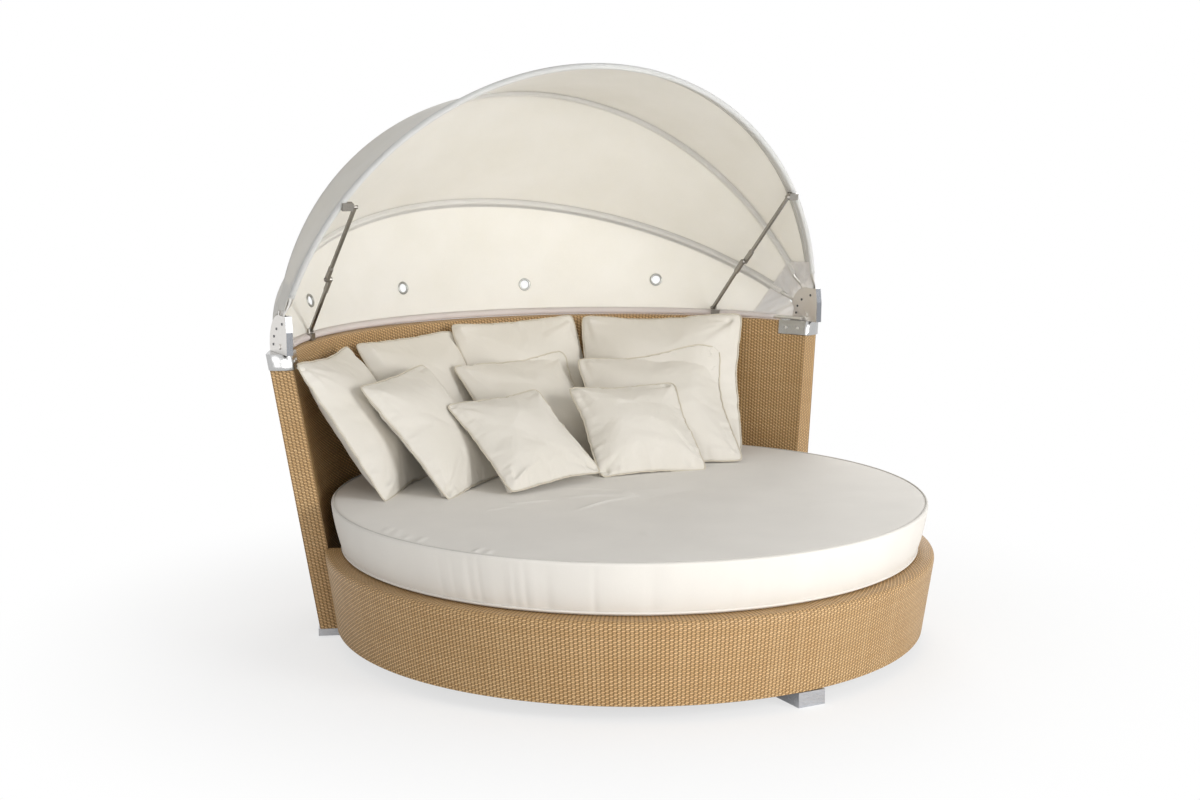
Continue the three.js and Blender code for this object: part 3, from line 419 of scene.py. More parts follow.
def rounded(points, radii, parts):
    """An outline whose corners are rounded, each by its own radius."""
    result = []
    for k, (corner, radius) in enumerate(zip(points, radii)):
        corner, before, after = Vector(corner), Vector(points[k - 1]), Vector(points[(k + 1) % len(points)])
        if not radius:
            result.append(tuple(corner))
            continue
        a = corner + (before - corner).normalized() * radius
        b = corner + (after - corner).normalized() * radius
        for share in (i / parts for i in range(parts + 1)):
            p = (1 - share) ** 2 * a + 2 * share * (1 - share) * corner + share ** 2 * b
            result.append(tuple(p))
    return result


def with_stops(outline, step):
    """The outline with further points on its long sides, no further apart than step."""
    result = []
    for k, a in enumerate(outline):
        b = outline[(k + 1) % len(outline)]
        parts = max(1, round(hypot(b[0] - a[0], b[1] - a[1]) / step))
        result += [(lerp(a[0], b[0], i / parts), lerp(a[1], b[1], i / parts)) for i in range(parts)]
    return result


def from_front(radius, angle, z):
    """A point at a radius from the mattress's middle, with its angle counted from the front."""
    return radius * sin(angle), shift_back - radius * cos(angle), z


def on_wall(share, across, z):
    return wall_point((2 * share - 1) * wall_end(z), across, z)


def on_skirt(share, radius, z):
    level = min(z, base_high - base_edge)
    corner = wall_point(wall_end(level), 0.0, level)
    end = atan2(corner.x, shift_back - corner.y) - skirt_gap / base_top_radius
    return from_front(radius, (2 * share - 1) * end, z)


def skin(node, outline, steps, where):
    points, faces, strand = sweep(outline, steps, where)
    make(node + "_plait", points, faces, plait, "bed", node, angle=50, strand=strand)


wall_outline = rounded(
    [(-wall_side, wall_low), (wall_side, wall_low), (wall_side, wall_high), (-wall_side, wall_high)],
    [0.003, 0.003, wall_edge, wall_edge], 4)
skin("back_wall", with_stops(wall_outline, 0.06), 150, on_wall)
# the skirt's top reaches in to the deck panel's edge, and is 10 mm thick there
lip = deck_radius + 0.0015
skirt_outline = rounded(
    [(base_foot_radius - skirt_thick, base_low), (base_foot_radius, base_low), (base_top_radius, base_high),
     (lip, base_high), (lip, base_high - 0.010), (0.895, base_high - 0.02)],
    [0.0, 0.004, base_edge, 0.002, 0.0, 0.0], 6)
skin("base_skirt", with_stops(skirt_outline, 0.05), 170, on_skirt)


# Mattress

# Folds left in the cover: height, half width, and the points they run through, from the middle
mattress_creases = [
    (0.0046, 0.010, (-0.236, 0.005), (-0.124, -0.023), (-0.023, -0.070), (0.126, -0.010)),
    (0.0040, 0.009, (-0.281, -0.179), (-0.144, -0.110), (-0.023, -0.077)),
    (0.0036, 0.009, (-0.149, 0.128), (-0.068, 0.049), (-0.023, -0.077)),
    (0.0036, 0.009, (-0.433, -0.003), (-0.262, -0.014)),
    (0.0024, 0.010, (-0.530, -0.059), (-0.405, -0.034)),
    (0.0022, 0.012, (-0.237, -0.496), (-0.250, -0.562)),
    (0.0018, 0.012, (-0.208, -0.740), (-0.138, -0.752)),
    (0.0034, 0.008, (-0.872, -0.174), (-0.826, -0.107)),
    (0.0034, 0.008, (-0.862, -0.221), (-0.815, -0.141)),
    (0.0034, 0.008, (-0.850, -0.267), (-0.817, -0.228)),
    (0.0034, 0.008, (-0.835, -0.319), (-0.790, -0.266)),
    (0.0034, 0.008, (-0.752, -0.504), (-0.706, -0.457)),
    (0.0032, 0.008, (-0.729, -0.529), (-0.692, -0.491)),
    (-0.0040, 0.050, (-0.100, -0.150), (0.250, -0.060)),
    (-0.0022, 0.090, (0.050, -0.500), (0.400, -0.420)),
]
# Puckers seen at the front left: angle from the front in degrees, width and depth
seen_puckers = [(-61, 0.010, 0.7), (-57.5, 0.014, 1.1), (-55.6, 0.008, 0.9), (-50.8, 0.016, 1.3),
                (-48.9, 0.009, 0.8), (-43.0, 0.014, 0.6)]


def mattress_top(radius, rim=mattress_seam):
    """Height of the crowned top at a distance from its middle."""
    return mattress_edge + mattress_crown * (1 - min(1.0, radius / rim) ** 4)


def wave_noise(angle, seed, terms):
    """A smooth wave round a circle: whole numbers of waves, so that it closes."""
    random = np.random.default_rng(seed)
    total = 0.0
    for count in terms:
        total += sin(count * angle + random.uniform(0, 2 * pi)) * random.uniform(0.5, 1.0)
    return total / len(terms)


def mattress_profile():
    """Radius and height from under the foot, up the bulging side, and in over the top from the seam."""
    side_foot, side_top, bulge = 0.876, 0.9055, 0.0035
    foot = ((0.30, 0.0), (0.60, 0.0), (0.84, 0.0), (0.867, 0.0005), (0.8735, 0.004), (side_foot, 0.010))
    profile = [(radius, mattress_foot + up) for radius, up in foot]
    for share in (k / 12 for k in range(1, 13)):
        radius = lerp(side_foot, side_top, share) + bulge * sin(pi * share) ** 0.8
        profile.append((radius, lerp(mattress_foot + 0.010, mattress_edge - 0.012, share)))
    edge = ((0.9062, 0.007), (0.9052, 0.0030), (0.9030, 0.0008), (0.9008, 0.0012), (0.899, 0.0030))
    profile += [(radius, mattress_edge - down) for radius, down in edge]
    for inset, drop in [(0.004, 0.0012), (0.008, 0.0003)] + [(0.014 + 0.0105 * k, 0.0) for k in range(78)]:
        profile.append((mattress_seam - inset, mattress_top(mattress_seam - inset) - drop))
    return profile


def crease_mattress(points):
    """Raises the folds of the table on the points of the mattress's top."""
    on_top = points[:, 2] > mattress_edge - 0.0005
    flat = points[on_top][:, :2] - [0, shift_back]
    for height, width, *spots in mattress_creases:
        rise = np.zeros(len(flat))
        for part, (a, b) in enumerate(zip(spots, spots[1:])):
            a, b = np.array(a), np.array(b)
            along = np.clip(((flat - a) @ (b - a)) / ((b - a) @ (b - a)), 0, 1)
            gap = np.linalg.norm(flat - a - along[:, None] * (b - a), axis=1)
            run = (part + along) / (len(spots) - 1)
            fade = np.clip(4 * np.minimum(run, 1 - run), 0, 1)
            rise = np.maximum(rise, fade * np.exp(-(gap / width) ** 2))
        points[on_top, 2] += height * rise


def mattress():
    # depths of the puckers on the side and the top and of the waves, and how far in the puckers run
    side_pucker, top_pucker, side_wave, top_wave, run_in = 0.0022, 0.0011, 0.0010, 0.0012, 0.035
    random = np.random.default_rng(7)
    puckers = [(random.uniform(-pi, pi), random.uniform(0.010, 0.020), random.uniform(0.3, 1.0))
               for _ in range(70)]
    puckers += [(radians(spot), width, depth) for spot, width, depth in seen_puckers]

    def pulled(angle, least):
        """How far the puckers deeper than least draw the cover in at an angle."""
        pull = 0.0
        for spot, width, depth in puckers:
            if depth > least:
                gap = (angle - spot + pi) % (2 * pi) - pi
                pull += depth * exp(-(gap / width) ** 2)
        return pull

    profile = mattress_profile()
    # the mesh is finer at the front left, where the cover puckers
    fine_from, fine_to = radians(-84), radians(-34)
    angles = [lerp(fine_from, fine_to, k / 200) for k in range(200)]
    angles += [lerp(fine_to, fine_from + 2 * pi, k / 340) for k in range(340)]
    points = []
    for angle in angles:
        side_pull = pulled(angle, 0.0)
        low_wave = wave_noise(angle, 3, (5, 9, 14))
        for radius, z in profile:
            r, h = radius, z
            if radius > 0.875 and z < mattress_edge - 0.006:
                share = (z - mattress_foot) / (mattress_edge - mattress_foot)
                r -= side_pucker * side_pull * (1 - 0.75 * share) + side_wave * low_wave * sin(pi * share)
            elif z >= mattress_edge - 0.002 and radius < 0.893:
                inset = mattress_seam - radius
                x, y = radius * sin(angle), radius * cos(angle)
                # puckers lean to one side on their way in from the seam, and run out
                pull = pulled(angle - 0.9 * inset, 0.4) * (1 if inset > 0.01 else 0.3)
                h += top_pucker * pull * exp(-inset / run_in)
                h -= top_wave * (sin(6 * x + 2.5 * y) * sin(5 * y - 1.3) + 1) * smooth(inset / 0.2)
            points.append(from_front(r, angle, h))
    points = np.array(points)
    crease_mattress(points)
    turns, size, middle = len(angles), len(profile), len(points)
    faces = grid_faces(turns, size, round_rows=True)
    for k in range(turns):
        after = (k + 1) % turns
        faces.append((middle, k * size, after * size))
        faces.append((middle + 1, after * size + size - 1, k * size + size - 1))
    points = [*points, (0, shift_back, mattress_foot), (0, shift_back, mattress_top(0) - 0.001)]

    def ring(radius, height, thick):
        path = [from_front(radius, angle, height) for angle in angles]
        return tube(path, thick, 8, (0, 0, 1), closed=True)

    top_piping = ring(mattress_seam + 0.0002, mattress_edge - 0.0006, 0.0019)
    foot_piping = ring(0.8765, mattress_foot + 0.0085, 0.0028)
    points, faces, marks = joined((points, faces), top_piping, foot_piping)
    # the piping's darker tone is painted shade along the top and foot seams
    piece = make("mattress_cover", points, faces, [mattress_cloth, mattress_piping_painted_shade, mattress_cloth], "bed",
                 "mattress", angle=60, marks=marks)


mattress()


# Pillows: each blown up from two flat squares, then pressed against what it leans on

pillow_size = 0.490
pillow_cells = 44
# the sewn edge of a loosely filled pillow is drawn in by less than the blown-up cloth's
pillow_drawn_in = 0.17
# Name, place on the mattress and turn, lean and roll in degrees, then width, height and thickness in sizes
pillow_rows = [
    ("pillow_back_left_end", (-0.6349, 0.4173), (49, 34, 0), (0.9184, 1, 0.3061)),
    ("pillow_back_left", (-0.2908, 0.6881), (25, 34, 0), (0.9592, 1, 0.3061)),
    ("pillow_back_right", (0.0733, 0.7658), (-3, 31, 2), (0.9388, 1.0204, 0.3061)),
    ("pillow_back_right_end", (0.4384, 0.5461), (-35, 34, 2), (1.1429, 1.0816, 0.3265)),
    ("pillow_middle_left", (-0.4173, 0.313), (40, 41, 2), (0.898, 0.898, 0.2857)),
    ("pillow_middle", (0.0333, 0.5216), (12, 46, 0), (0.9184, 0.9184, 0.2857)),
    ("pillow_middle_right", (0.3607, 0.3219), (-19, 50, 2), (0.9796, 0.9898, 0.3061)),
    ("pillow_front_left", (-0.1953, 0.1554), (13, 52, 3), (0.7653, 0.7653, 0.2551)),
    ("pillow_front_right", (0.222, 0.2109), (-6, 49, -1), (0.7653, 0.7653, 0.2551)),
]


def flat_pillow(wide, high, thick):
    """Two squares sewn round the edge, a little apart in the middle, with pointed corners, and their rim."""
    last = pillow_cells
    points, faces, index = [], [], {}
    for side, i, j in itertools.product((1, -1), range(last + 1), range(last + 1)):
        rim = i in (0, last) or j in (0, last)
        if rim and side < 0:
            index[side, i, j] = index[1, i, j]
            continue
        index[side, i, j] = len(points)
        u, v = 2 * i / last - 1, 2 * j / last - 1
        swell = 0.0 if rim else 0.5 * thick * ((1 - abs(u) ** 3) * (1 - abs(v) ** 3)) ** 0.5
        blunt = 0.010 * abs(u * v) ** 16
        points.append(((0.5 * wide - blunt) * u * (1 - 0.015 * (1 - v * v)), -side * swell,
                       (0.5 * high - blunt) * v * (1 - 0.015 * (1 - u * u))))
    for side, i, j in itertools.product((1, -1), range(last), range(last)):
        face = [index[side, i + a, j + b] for a, b in ((0, 0), (1, 0), (1, 1), (0, 1))]
        faces.append(face[::side])
    return points, faces, [index[1, i, j] for i, j in rim_of(last, last)]


def worked_out(points, faces, work):
    """Points and faces of a passing mesh after work has given it its modifiers."""
    mesh = bpy.data.meshes.new("pillow_cut")
    mesh.from_pydata([tuple(p) for p in points], [], faces)
    cut = new_object("pillow_cut", mesh)
    work(cut)
    result = solved(cut).data
    points = np.array([v.co for v in result.vertices], float)
    faces = [tuple(polygon.vertices) for polygon in result.polygons]
    bpy.context.scene.frame_set(1)
    bpy.data.objects.remove(cut)
    bpy.data.meshes.remove(mesh)
    return points, faces


def blow_up(cut, frames=20):
    """Blows the two sewn squares up as cloth for some frames."""
    cloth = cut.modifiers.new("Cloth", "CLOTH")
    for key, value in {"quality": 5, "mass": 0.2, "tension_stiffness": 12, "compression_stiffness": 12,
                       "shear_stiffness": 4, "bending_stiffness": 0.4, "use_pressure": True,
                       "uniform_pressure_force": 2.4}.items():
        setattr(cloth.settings, key, value)
    cloth.settings.effector_weights.gravity = 0
    cloth.collision_settings.use_collision = False
    cloth.point_cache.frame_start, cloth.point_cache.frame_end = 1, frames
    for number in range(1, frames + 1):
        bpy.context.scene.frame_set(number)


def divide(cut):
    """Rounds the mesh and divides it once more."""
    finer = cut.modifiers.new("Finer", "SUBSURF")
    finer.levels = finer.render_levels = 1


def pressed(points, neighbours, gap=0.0015, deepest=0.12):
    """The points moved out of the neighbours, the mattress and the back wall."""
    for tree in neighbours:
        for k, p in enumerate(points):
            spot, normal, _, away = tree.find_nearest(Vector(p), 0.2)
            if spot is not None and (Vector(p) - spot).dot(normal) < gap and away < deepest:
                points[k] = spot + normal * gap
    for k, p in enumerate(points):
        across = hypot(p[0], p[1] - shift_back)
        points[k][2] = max(p[2], mattress_top(across, mattress_radius - 0.008) + 0.0005)
        back = np.array([p[0], p[1] - wall_axis])
        reach, room = np.linalg.norm(back), wall_radius(p[2]) - wall_side - 0.001
        if reach > room and p[1] > shift_back and p[2] < wall_high:
            points[k][:2] = back * room / reach + [0, wall_axis]
    return points


def creased(points, random):
    """Folds that run in from the corners, puckers square to the seam, and soft drags across the middle."""
    flat = points[:, ::2]
    wide, high = np.ptp(flat[:, 0]), np.ptp(flat[:, 1])
    inside = np.clip(np.minimum(wide / 2 - abs(flat[:, 0]), high / 2 - abs(flat[:, 1])), 0, None)
    push = np.zeros(len(points))

    def fold(start, angle, length, width, height, side):
        way = np.array([cos(angle), sin(angle)])
        along = np.clip((flat - start) @ way, 0, length)
        gap = np.linalg.norm(flat - start - along[:, None] * way, axis=1)
        fade = np.clip(1.2 - along / length, 0, 1)
        on_side = side * points[:, 1] > 0
        push[on_side] += (height * fade * np.exp(-(gap / width) ** 1.4))[on_side]

    for side in (-1, 1):
        for cx, cz in ((-1, -1), (1, -1), (1, 1), (-1, 1)):
            corner = np.array([cx * wide / 2, cz * high / 2])
            inward = atan2(-cz, -cx)
            for _ in range(7):
                angle = inward + random.uniform(-0.75, 0.75)
                start = corner * random.uniform(0.86, 0.95)
                height = random.choice([-1, 1]) * random.uniform(0.0055, 0.0115)
                fold(start, angle, random.uniform(0.06, 0.15), random.uniform(0.006, 0.012), height, side)
        for way, reach, other in ((0, wide, high), (1, high, wide)):
            for edge in (-1, 1):
                for _ in range(int(reach / 0.038)):
                    start = np.zeros(2)
                    start[way] = random.uniform(-0.42, 0.42) * reach
                    start[1 - way] = edge * (other / 2 - 0.008)
                    angle = (pi / 2 if way == 0 else 0) + (pi if edge > 0 else 0)
                    height = random.choice([-1, 1]) * random.uniform(0.0034, 0.0075)
                    fold(start, angle + random.uniform(-0.4, 0.4), random.uniform(0.015, 0.060),
                         random.uniform(0.005, 0.008), height, side)
        for _ in range(4):
            start = np.array([random.uniform(-0.3, 0.1) * wide, random.uniform(-0.3, 0.3) * high])
            fold(start, random.uniform(-0.9, 0.9), random.uniform(0.12, 0.26), random.uniform(0.014, 0.028),
                 random.choice([-1, 1]) * random.uniform(0.0050, 0.0090), side)
    points[:, 1] += np.sign(points[:, 1]) * push * np.clip(inside / 0.010, 0, 1)
    return points


def piping(loop, face_out):
    """Points and faces of the 4.8 mm piping round a pillow's rim, divided as finely as its cover."""
    middle = sum(loop, Vector()) / len(loop)
    count = len(loop)
    loop = [(loop[k - 1] + 6 * loop[k] + loop[(k + 1) % count]) / 8 for k in range(count)]
    finer = []
    for k, p in enumerate(loop):
        after, beyond = loop[(k + 1) % count], loop[(k + 2) % count]
        finer += [p, (9 * (p + after) - loop[k - 1] - beyond) / 16]
    path = [p + (p - middle).normalized() * 0.0026 for p in finer]
    return tube(path, 0.0024, 8, face_out, closed=True)


def pillow(name, place, turns, sizes, neighbours, number):
    size = [pillow_size * share for share in sizes]
    wide, high, thick = size
    # cut a little larger and flatter, and no point quite in line, so that the cloth wrinkles
    points, faces, rim = flat_pillow(wide * 1.035, high * 1.035, thick * 0.6)
    random = np.random.default_rng(20 + number)
    points = np.array(points) + random.normal(0, 0.0008, (len(points), 3))
    moved = worked_out(points, faces, blow_up)[0] - points
    moved[:, ::2] *= pillow_drawn_in
    points = points + moved
    # the sides wave by 2.5 mm
    for across, along, reach in ((0, 2, high), (2, 0, wide)):
        wave = np.sin(points[:, along] / reach * random.uniform(6, 10) + random.uniform(0, 6))
        points[:, across] += 0.0025 * wave * np.sign(points[:, across])
    points, faces = worked_out(points, faces, divide)
    points = creased(points, random)
    for axis, length in zip((0, 2, 1), size):
        points[:, axis] *= length / np.ptp(points[:, axis])
    points[:, 2] -= points[:, 2].min()
    facing, lean, roll = [radians(a) for a in turns]
    turn = Matrix.Rotation(facing, 3, "Z") @ Matrix.Rotation(-lean, 3, "X") @ Matrix.Rotation(-roll, 3, "Y")
    points = points @ np.array(turn).T
    x, y = place[0] * mattress_radius, place[1] * mattress_radius
    # each pillow sinks 4 mm into the mattress before it is pressed flat there
    rest = mattress_top(hypot(x, y)) - 0.004
    points += np.array([x, y + shift_back, rest - points[:, 2].min()])
    points = pressed(points, neighbours)
    edging = piping([Vector(points[k]) for k in rim], turn @ Vector((0, -1, 0)))
    all_points, all_faces, marks = joined((points, faces), edging)
    # the piping's darker tone is painted shade along the pillow's edge
    piece = make(name + "_cover", all_points, all_faces, [pillow_cloth, piping_cloth_painted_shade], "bed", name,
                 angle=180, marks=marks)
    return BVHTree.FromPolygons([tuple(p) for p in points], faces)


trees = []
for number, row in enumerate(pillow_rows):
    trees.append(pillow(*row, trees, number))


# Bows and rail

class Arc:
    """A circular arc from side to side in a tilted plane; rise is the way up in that plane from its ends."""

    def __init__(self, across, reach, tilt, height=pin_height):
        self.radius = (across ** 2 + reach ** 2) / (2 * reach)
        self.depth = self.radius - reach
        self.tilt, self.height = tilt, height

    def start(self, rise):
        return acos((self.depth + rise) / self.radius)

    def at(self, turn):
        """The point at an angle from the arc's middle."""
        x, rise = self.radius * sin(turn), self.radius * cos(turn) - self.depth
        return self.placed(x, rise)

    def placed(self, x, rise):
        return Vector((x, pin_back - rise * sin(self.tilt), self.height + rise * cos(self.tilt)))

    def line(self, share):
        """The point at a share of the way along the cloth."""
        first = self.start(cloth_clear)
        return self.at(lerp(-first, first, share))

    def normal(self):
        """The direction square to the arc's plane, towards the front and up."""
        return Vector((0, -cos(self.tilt), -sin(self.tilt)))


arcs = {name: Arc(bow_across, bow_reach[name], bow_tilt[name]) for name in bow_reach}
# the rail's plane is level
rail = Arc(rail_across, rail_reach, -pi / 2, rail_height)


def bow_tube(name):
    """Tube whose ends are pressed flat and turn round the pin between the hinge plates."""
    arc = arcs[name]
    straight = hinge_across + bow_plane[name]
    bent = arc.radius * sin(arc.start(strap_length))
    side = []
    for rise in (-0.0100, -0.0092, -0.0075, -0.004, 0.0, 0.04, 0.080, 0.088, strap_bend, 0.107, 0.119, 0.131,
                 0.143, strap_length):
        x = lerp(straight, bent, smooth((rise - strap_bend) / (strap_length - strap_bend)))
        if rise <= 0:
            half = sqrt(max(0.0, strap_half ** 2 - rise ** 2)) + 0.0004
        elif rise <= 0.088:
            half = strap_half if rise <= 0.08 else 0.0085
        else:
            half = lerp(0.0068, tube_radius, smooth((rise - strap_bend) / 0.04))
        thick = lerp(strap_thin, tube_radius, smooth((rise - 0.110) / 0.04))
        side.append((x, rise, (thick, half)))
    first = arc.start(strap_length + 0.008)
    path = [arc.placed(x, rise) for x, rise, _ in side]
    path += [arc.at(lerp(first, -first, k / 72)) for k in range(73)]
    path += [arc.placed(-x, rise) for x, rise, _ in reversed(side)]
    sizes = [size for _, _, size in side]
    sizes += [(tube_radius, tube_radius)] * 73 + sizes[::-1]
    points, faces = tube(path, sizes, 16, arc.normal())
    make(f"bow_{name}_tube", points, faces, bow_metal, f"{name}_bow", f"bow_{name}", 40)


for name in arcs:
    bow_tube(name)

rail_first = rail.start(0.010)
rail_path = [rail.at(lerp(-rail_first, rail_first, k / 96)) for k in range(97)]
points, faces = tube(rail_path, tube_radius, 16, rail.normal())
make("canopy_rail_tube", points, faces, bow_metal, "bed", "canopy_rail", angle=40)


# Canopy cloth

# Each panel's two lines, and how far it sinks between the lines
panel_between = {"front": ("front", "middle"), "middle": ("middle", "rear"), "rear": ("rail", "rear")}
panel_sink = {"front": 0.011, "middle": 0.010, "rear": 0.007}
lines = {"rail": rail, **arcs}
hub = Vector((0, pin_back, pin_height))
# share of the way along and up the rear panel
eyelets = [(0.154, 0.48), (0.366, 0.3), (0.578, 0.26), (0.786, 0.41)]
eyelet_hole = 0.0158


def lines_of(panel):
    return [lines[name] for name in panel_between[panel]]


def away_from_hub(out, spot):
    """The direction turned so that it points out of the canopy."""
    return -out if out.dot(spot - hub) < 0 else out


def panel_frame(panel, share, rise):
    """The point on the straight line from bow to bow, and the cloth's outward direction there."""
    a, b = lines_of(panel)
    point = a.line(share).lerp(b.line(share), rise)
    low, high = max(0.0, share - 0.01), min(1.0, share + 0.01)
    along = a.line(high).lerp(b.line(high), rise) - a.line(low).lerp(b.line(low), rise)
    return point, away_from_hub(along.cross(b.line(share) - a.line(share)).normalized(), point)


def panel_point(panel, share, rise, off):
    """A point of the stretched cloth, which sinks a little between the bows."""
    point, out = panel_frame(panel, share, rise)
    ends = smooth(min(share, 1 - share) / 0.12)
    ripple = 0.0016 * sin(9 * pi * share + 2.0 * rise)
    dip = (panel_sink[panel] + ripple) * ends * sin(pi * rise)
    return point + out * (off - dip)


def point_near(panel, end, wide, share, off, part=1.0):
    """A point of the cloth at part of a width from the line at the panel's end, 0 or 1."""
    a, b = lines_of(panel)
    rise = wide * part / max((b.line(share) - a.line(share)).length, wide * 2.2)
    return panel_point(panel, share, rise if end == 0 else 1 - rise, off)


def fan(piece):
    """Cloth between two bows that turn on one pin: its placement is baked into its points."""
    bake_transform(piece)


def weight_of(panel, rise):
    """A weight for a line of the panel, from its rise: the rise itself on the rear panel, the rest of it on
    the others.
    """
    return rise if panel == "rear" else 1 - rise


def cloth_panel(panel, columns=150, rows=26, thick=0.0012):
    points, weights = [], []
    for off, i, j in itertools.product((cloth_off, cloth_off + thick), range(columns + 1), range(rows + 1)):
        points.append(panel_point(panel, i / columns, j / rows, off))
        weights.append(weight_of(panel, j / rows))
    faces, layer = two_layers(columns, rows)
    rim = [i * (rows + 1) + j for j, i in rim_of(rows, columns)]
    faces += [(a, b, layer + b, layer + a) for a, b in zip(rim, rim[1:] + rim[:1])]
    return points, faces, weights


def cut_eyelet_holes(piece):
    for share, rise in eyelets:
        spot, out = panel_frame("rear", share, rise)
        bar, walls = tube([spot - out * 0.03, spot + out * 0.03], eyelet_hole, 28, (0.3, 0.1, 0.95))
        cutter = make("eyelet_cutter", bar, [face[::-1] for face in walls], canopy_cloth)
        hole = piece.modifiers.new("Hole", "BOOLEAN")
        hole.object, hole.solver = cutter, "EXACT"
        apply_modifiers(piece)
        bpy.data.objects.remove(cutter)


def rear_weights(piece):
    """Each point's share of the way up the rear panel, read from its angle about the pins."""
    low, top = atan2(rail_height - pin_height, 0.3), pi / 2 + bow_tilt["rear"]
    turns = [atan2(vertex.co.z - pin_height, vertex.co.y - pin_back) for vertex in piece.data.vertices]
    return [min(1.0, max(0.0, (turn - low) / (top - low))) for turn in turns]


def panel_size(panel):
    """The panel's width along its middle, its depth there, and its area."""
    a, b = lines_of(panel)
    stops = [k / 60 for k in range(61)]
    middle = [a.line(s).lerp(b.line(s), 0.5) for s in stops]
    width = sum((q - p).length for p, q in zip(middle, middle[1:]))
    area = 0.0
    for s, t in zip(stops, stops[1:]):
        area += (b.line(t) - a.line(s)).cross(b.line(s) - a.line(t)).length / 2
    return width, (b.line(0.5) - a.line(0.5)).length, area


for panel in panel_between:
    points, faces, weights = cloth_panel(panel)
    piece = make(f"canopy_{panel}_cloth", points, faces, canopy_cloth, angle=60)
    if panel == "rear":
        cut_eyelet_holes(piece)
        weights = rear_weights(piece)
    fan(piece)
    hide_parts(f"canopy_{panel}")
    width, deep, area = panel_size(panel)


# Each pocket's line, body and cloth, then the sides of its strip and its rows of stitching. A side or a
# row is a panel, the end of it (0 or 1) and the width on it
pockets = {
    "front_hem": ("front", "front_bow", hem_cloth, [("front", 0, 0.042)],
                  [("front", 0, 0.040), ("front", 0, 0.031)]),
    "middle": ("middle", "middle_bow", canopy_cloth, [("front", 1, 0.016), ("middle", 0, 0.016)],
               [("front", 1, 0.0145), ("middle", 0, 0.0145)]),
    "rear": ("rear", "rear_bow", canopy_cloth, [("middle", 1, 0.016), ("rear", 1, 0.016)],
             [("middle", 1, 0.0145)]),
    # the rail's pocket is coloured darker as painted shade of the wall
    "rail": ("rail", "bed", rail_cloth_painted_shade, [("rear", 0, 0.016)], [("rear", 0, 0.0145)]),
}


def pocket(name, line, body, material, sides, columns=150):
    """Sewn pocket round a tube: a strip from panel to panel, or round the tube's far side and back."""
    arc = lines[line]
    panel, end, wide = sides[0]
    margin = 0.0 if line == "rail" else 0.016
    turns = range(30, -211, -30) if len(sides) > 1 else [*range(-20, -231, -30), -255]
    # a hem lies flat on its panel nearly to the tube
    parts = (1.0, 0.7, 0.5, 0.38) if wide > 0.03 else (1.0,)
    shape = []
    for i in range(columns + 1):
        share = lerp(margin, 1 - margin, i / columns)
        centre = arc.line(share)
        ring = [point_near(panel, end, wide, share, cloth_off - pocket_in, part) for part in parts]
        _, out = panel_frame(panel, share, float(end))
        away = (ring[0] - centre - out * (ring[0] - centre).dot(out)).normalized()
        for angle in (radians(turn) for turn in turns):
            ring.append(centre + (away * cos(angle) + out * sin(angle)) * (tube_radius + 0.0013))
        if len(sides) > 1:
            ring.append(point_near(*sides[1], share, cloth_off - pocket_in))
        else:
            ring.append(centre + out * (cloth_off + 0.0022))
            ring.append(panel_point(panel, share, 0.02 if end == 0 else 0.98, cloth_off + 0.0016))
        shape += ring
    piece = make(name, shape, grid_faces(columns + 1, len(ring)), material, body,
                 angle=180)
    thick = piece.modifiers.new("Thick", "SOLIDIFY")
    thick.thickness, thick.offset = 0.0008, 0.0
    apply_modifiers(piece)
    run = sum((arc.line(t / 60) - arc.line((t + 1) / 60)).length for t in range(60)) * 0.97


def seam(name, line, body, stitches):
    """Rows of stitching along a pocket, drawn thicker than the 0.5 mm thread so that they show."""
    rows = []
    for stitch in stitches:
        path = [point_near(*stitch, lerp(0.02, 0.98, i / 120), cloth_off - seam_in) for i in range(121)]
        rows.append(tube(path, 0.0009, 6, lines[line].normal()))
    points, faces, _ = joined(*rows)
    # the thread's darker tone is a painted shadow
    make(name, points, faces, seam_cloth_painted_shadow, body, angle=180)


for name, (line, body, material, sides, stitches) in pockets.items():
    seam("seam_" + name, line, body, stitches)
for name, (line, body, material, sides, stitches) in pockets.items():
    pocket("pocket_" + name, line, body, material, sides)


def eyelet(number, share, rise):
    """Ring of two pressed halves, drawn as one turned outline round the cloth."""
    _, out = panel_frame("rear", share, rise)
    centre = panel_point("rear", share, rise, cloth_off + 0.0006)
    side = out.cross(Vector((0, 0, 1))).normalized()
    up = side.cross(out)
    half = [(0.0147, 0.0014), (eyelet_hole, 0.0030), (0.0186, 0.0037), (0.0214, 0.0030), (0.0224, 0.0012)]
    outline = [(radius, -height) for radius, height in half] + half[::-1]
    turns = 40
    shape = []
    for angle in (2 * pi * k / turns for k in range(turns)):
        for radius, height in outline:
            shape.append(centre + (side * cos(angle) + up * sin(angle)) * radius + out * height)
    faces = grid_faces(turns, len(outline), round_rows=True, round_columns=True)
    piece = make(f"eyelet_ring_{number}", shape, faces, eyelet_metal, node=f"eyelet_{number}",
                 angle=60)
    fan(piece)


for number, (share, rise) in enumerate(eyelets, 1):
    eyelet(number, share, rise)


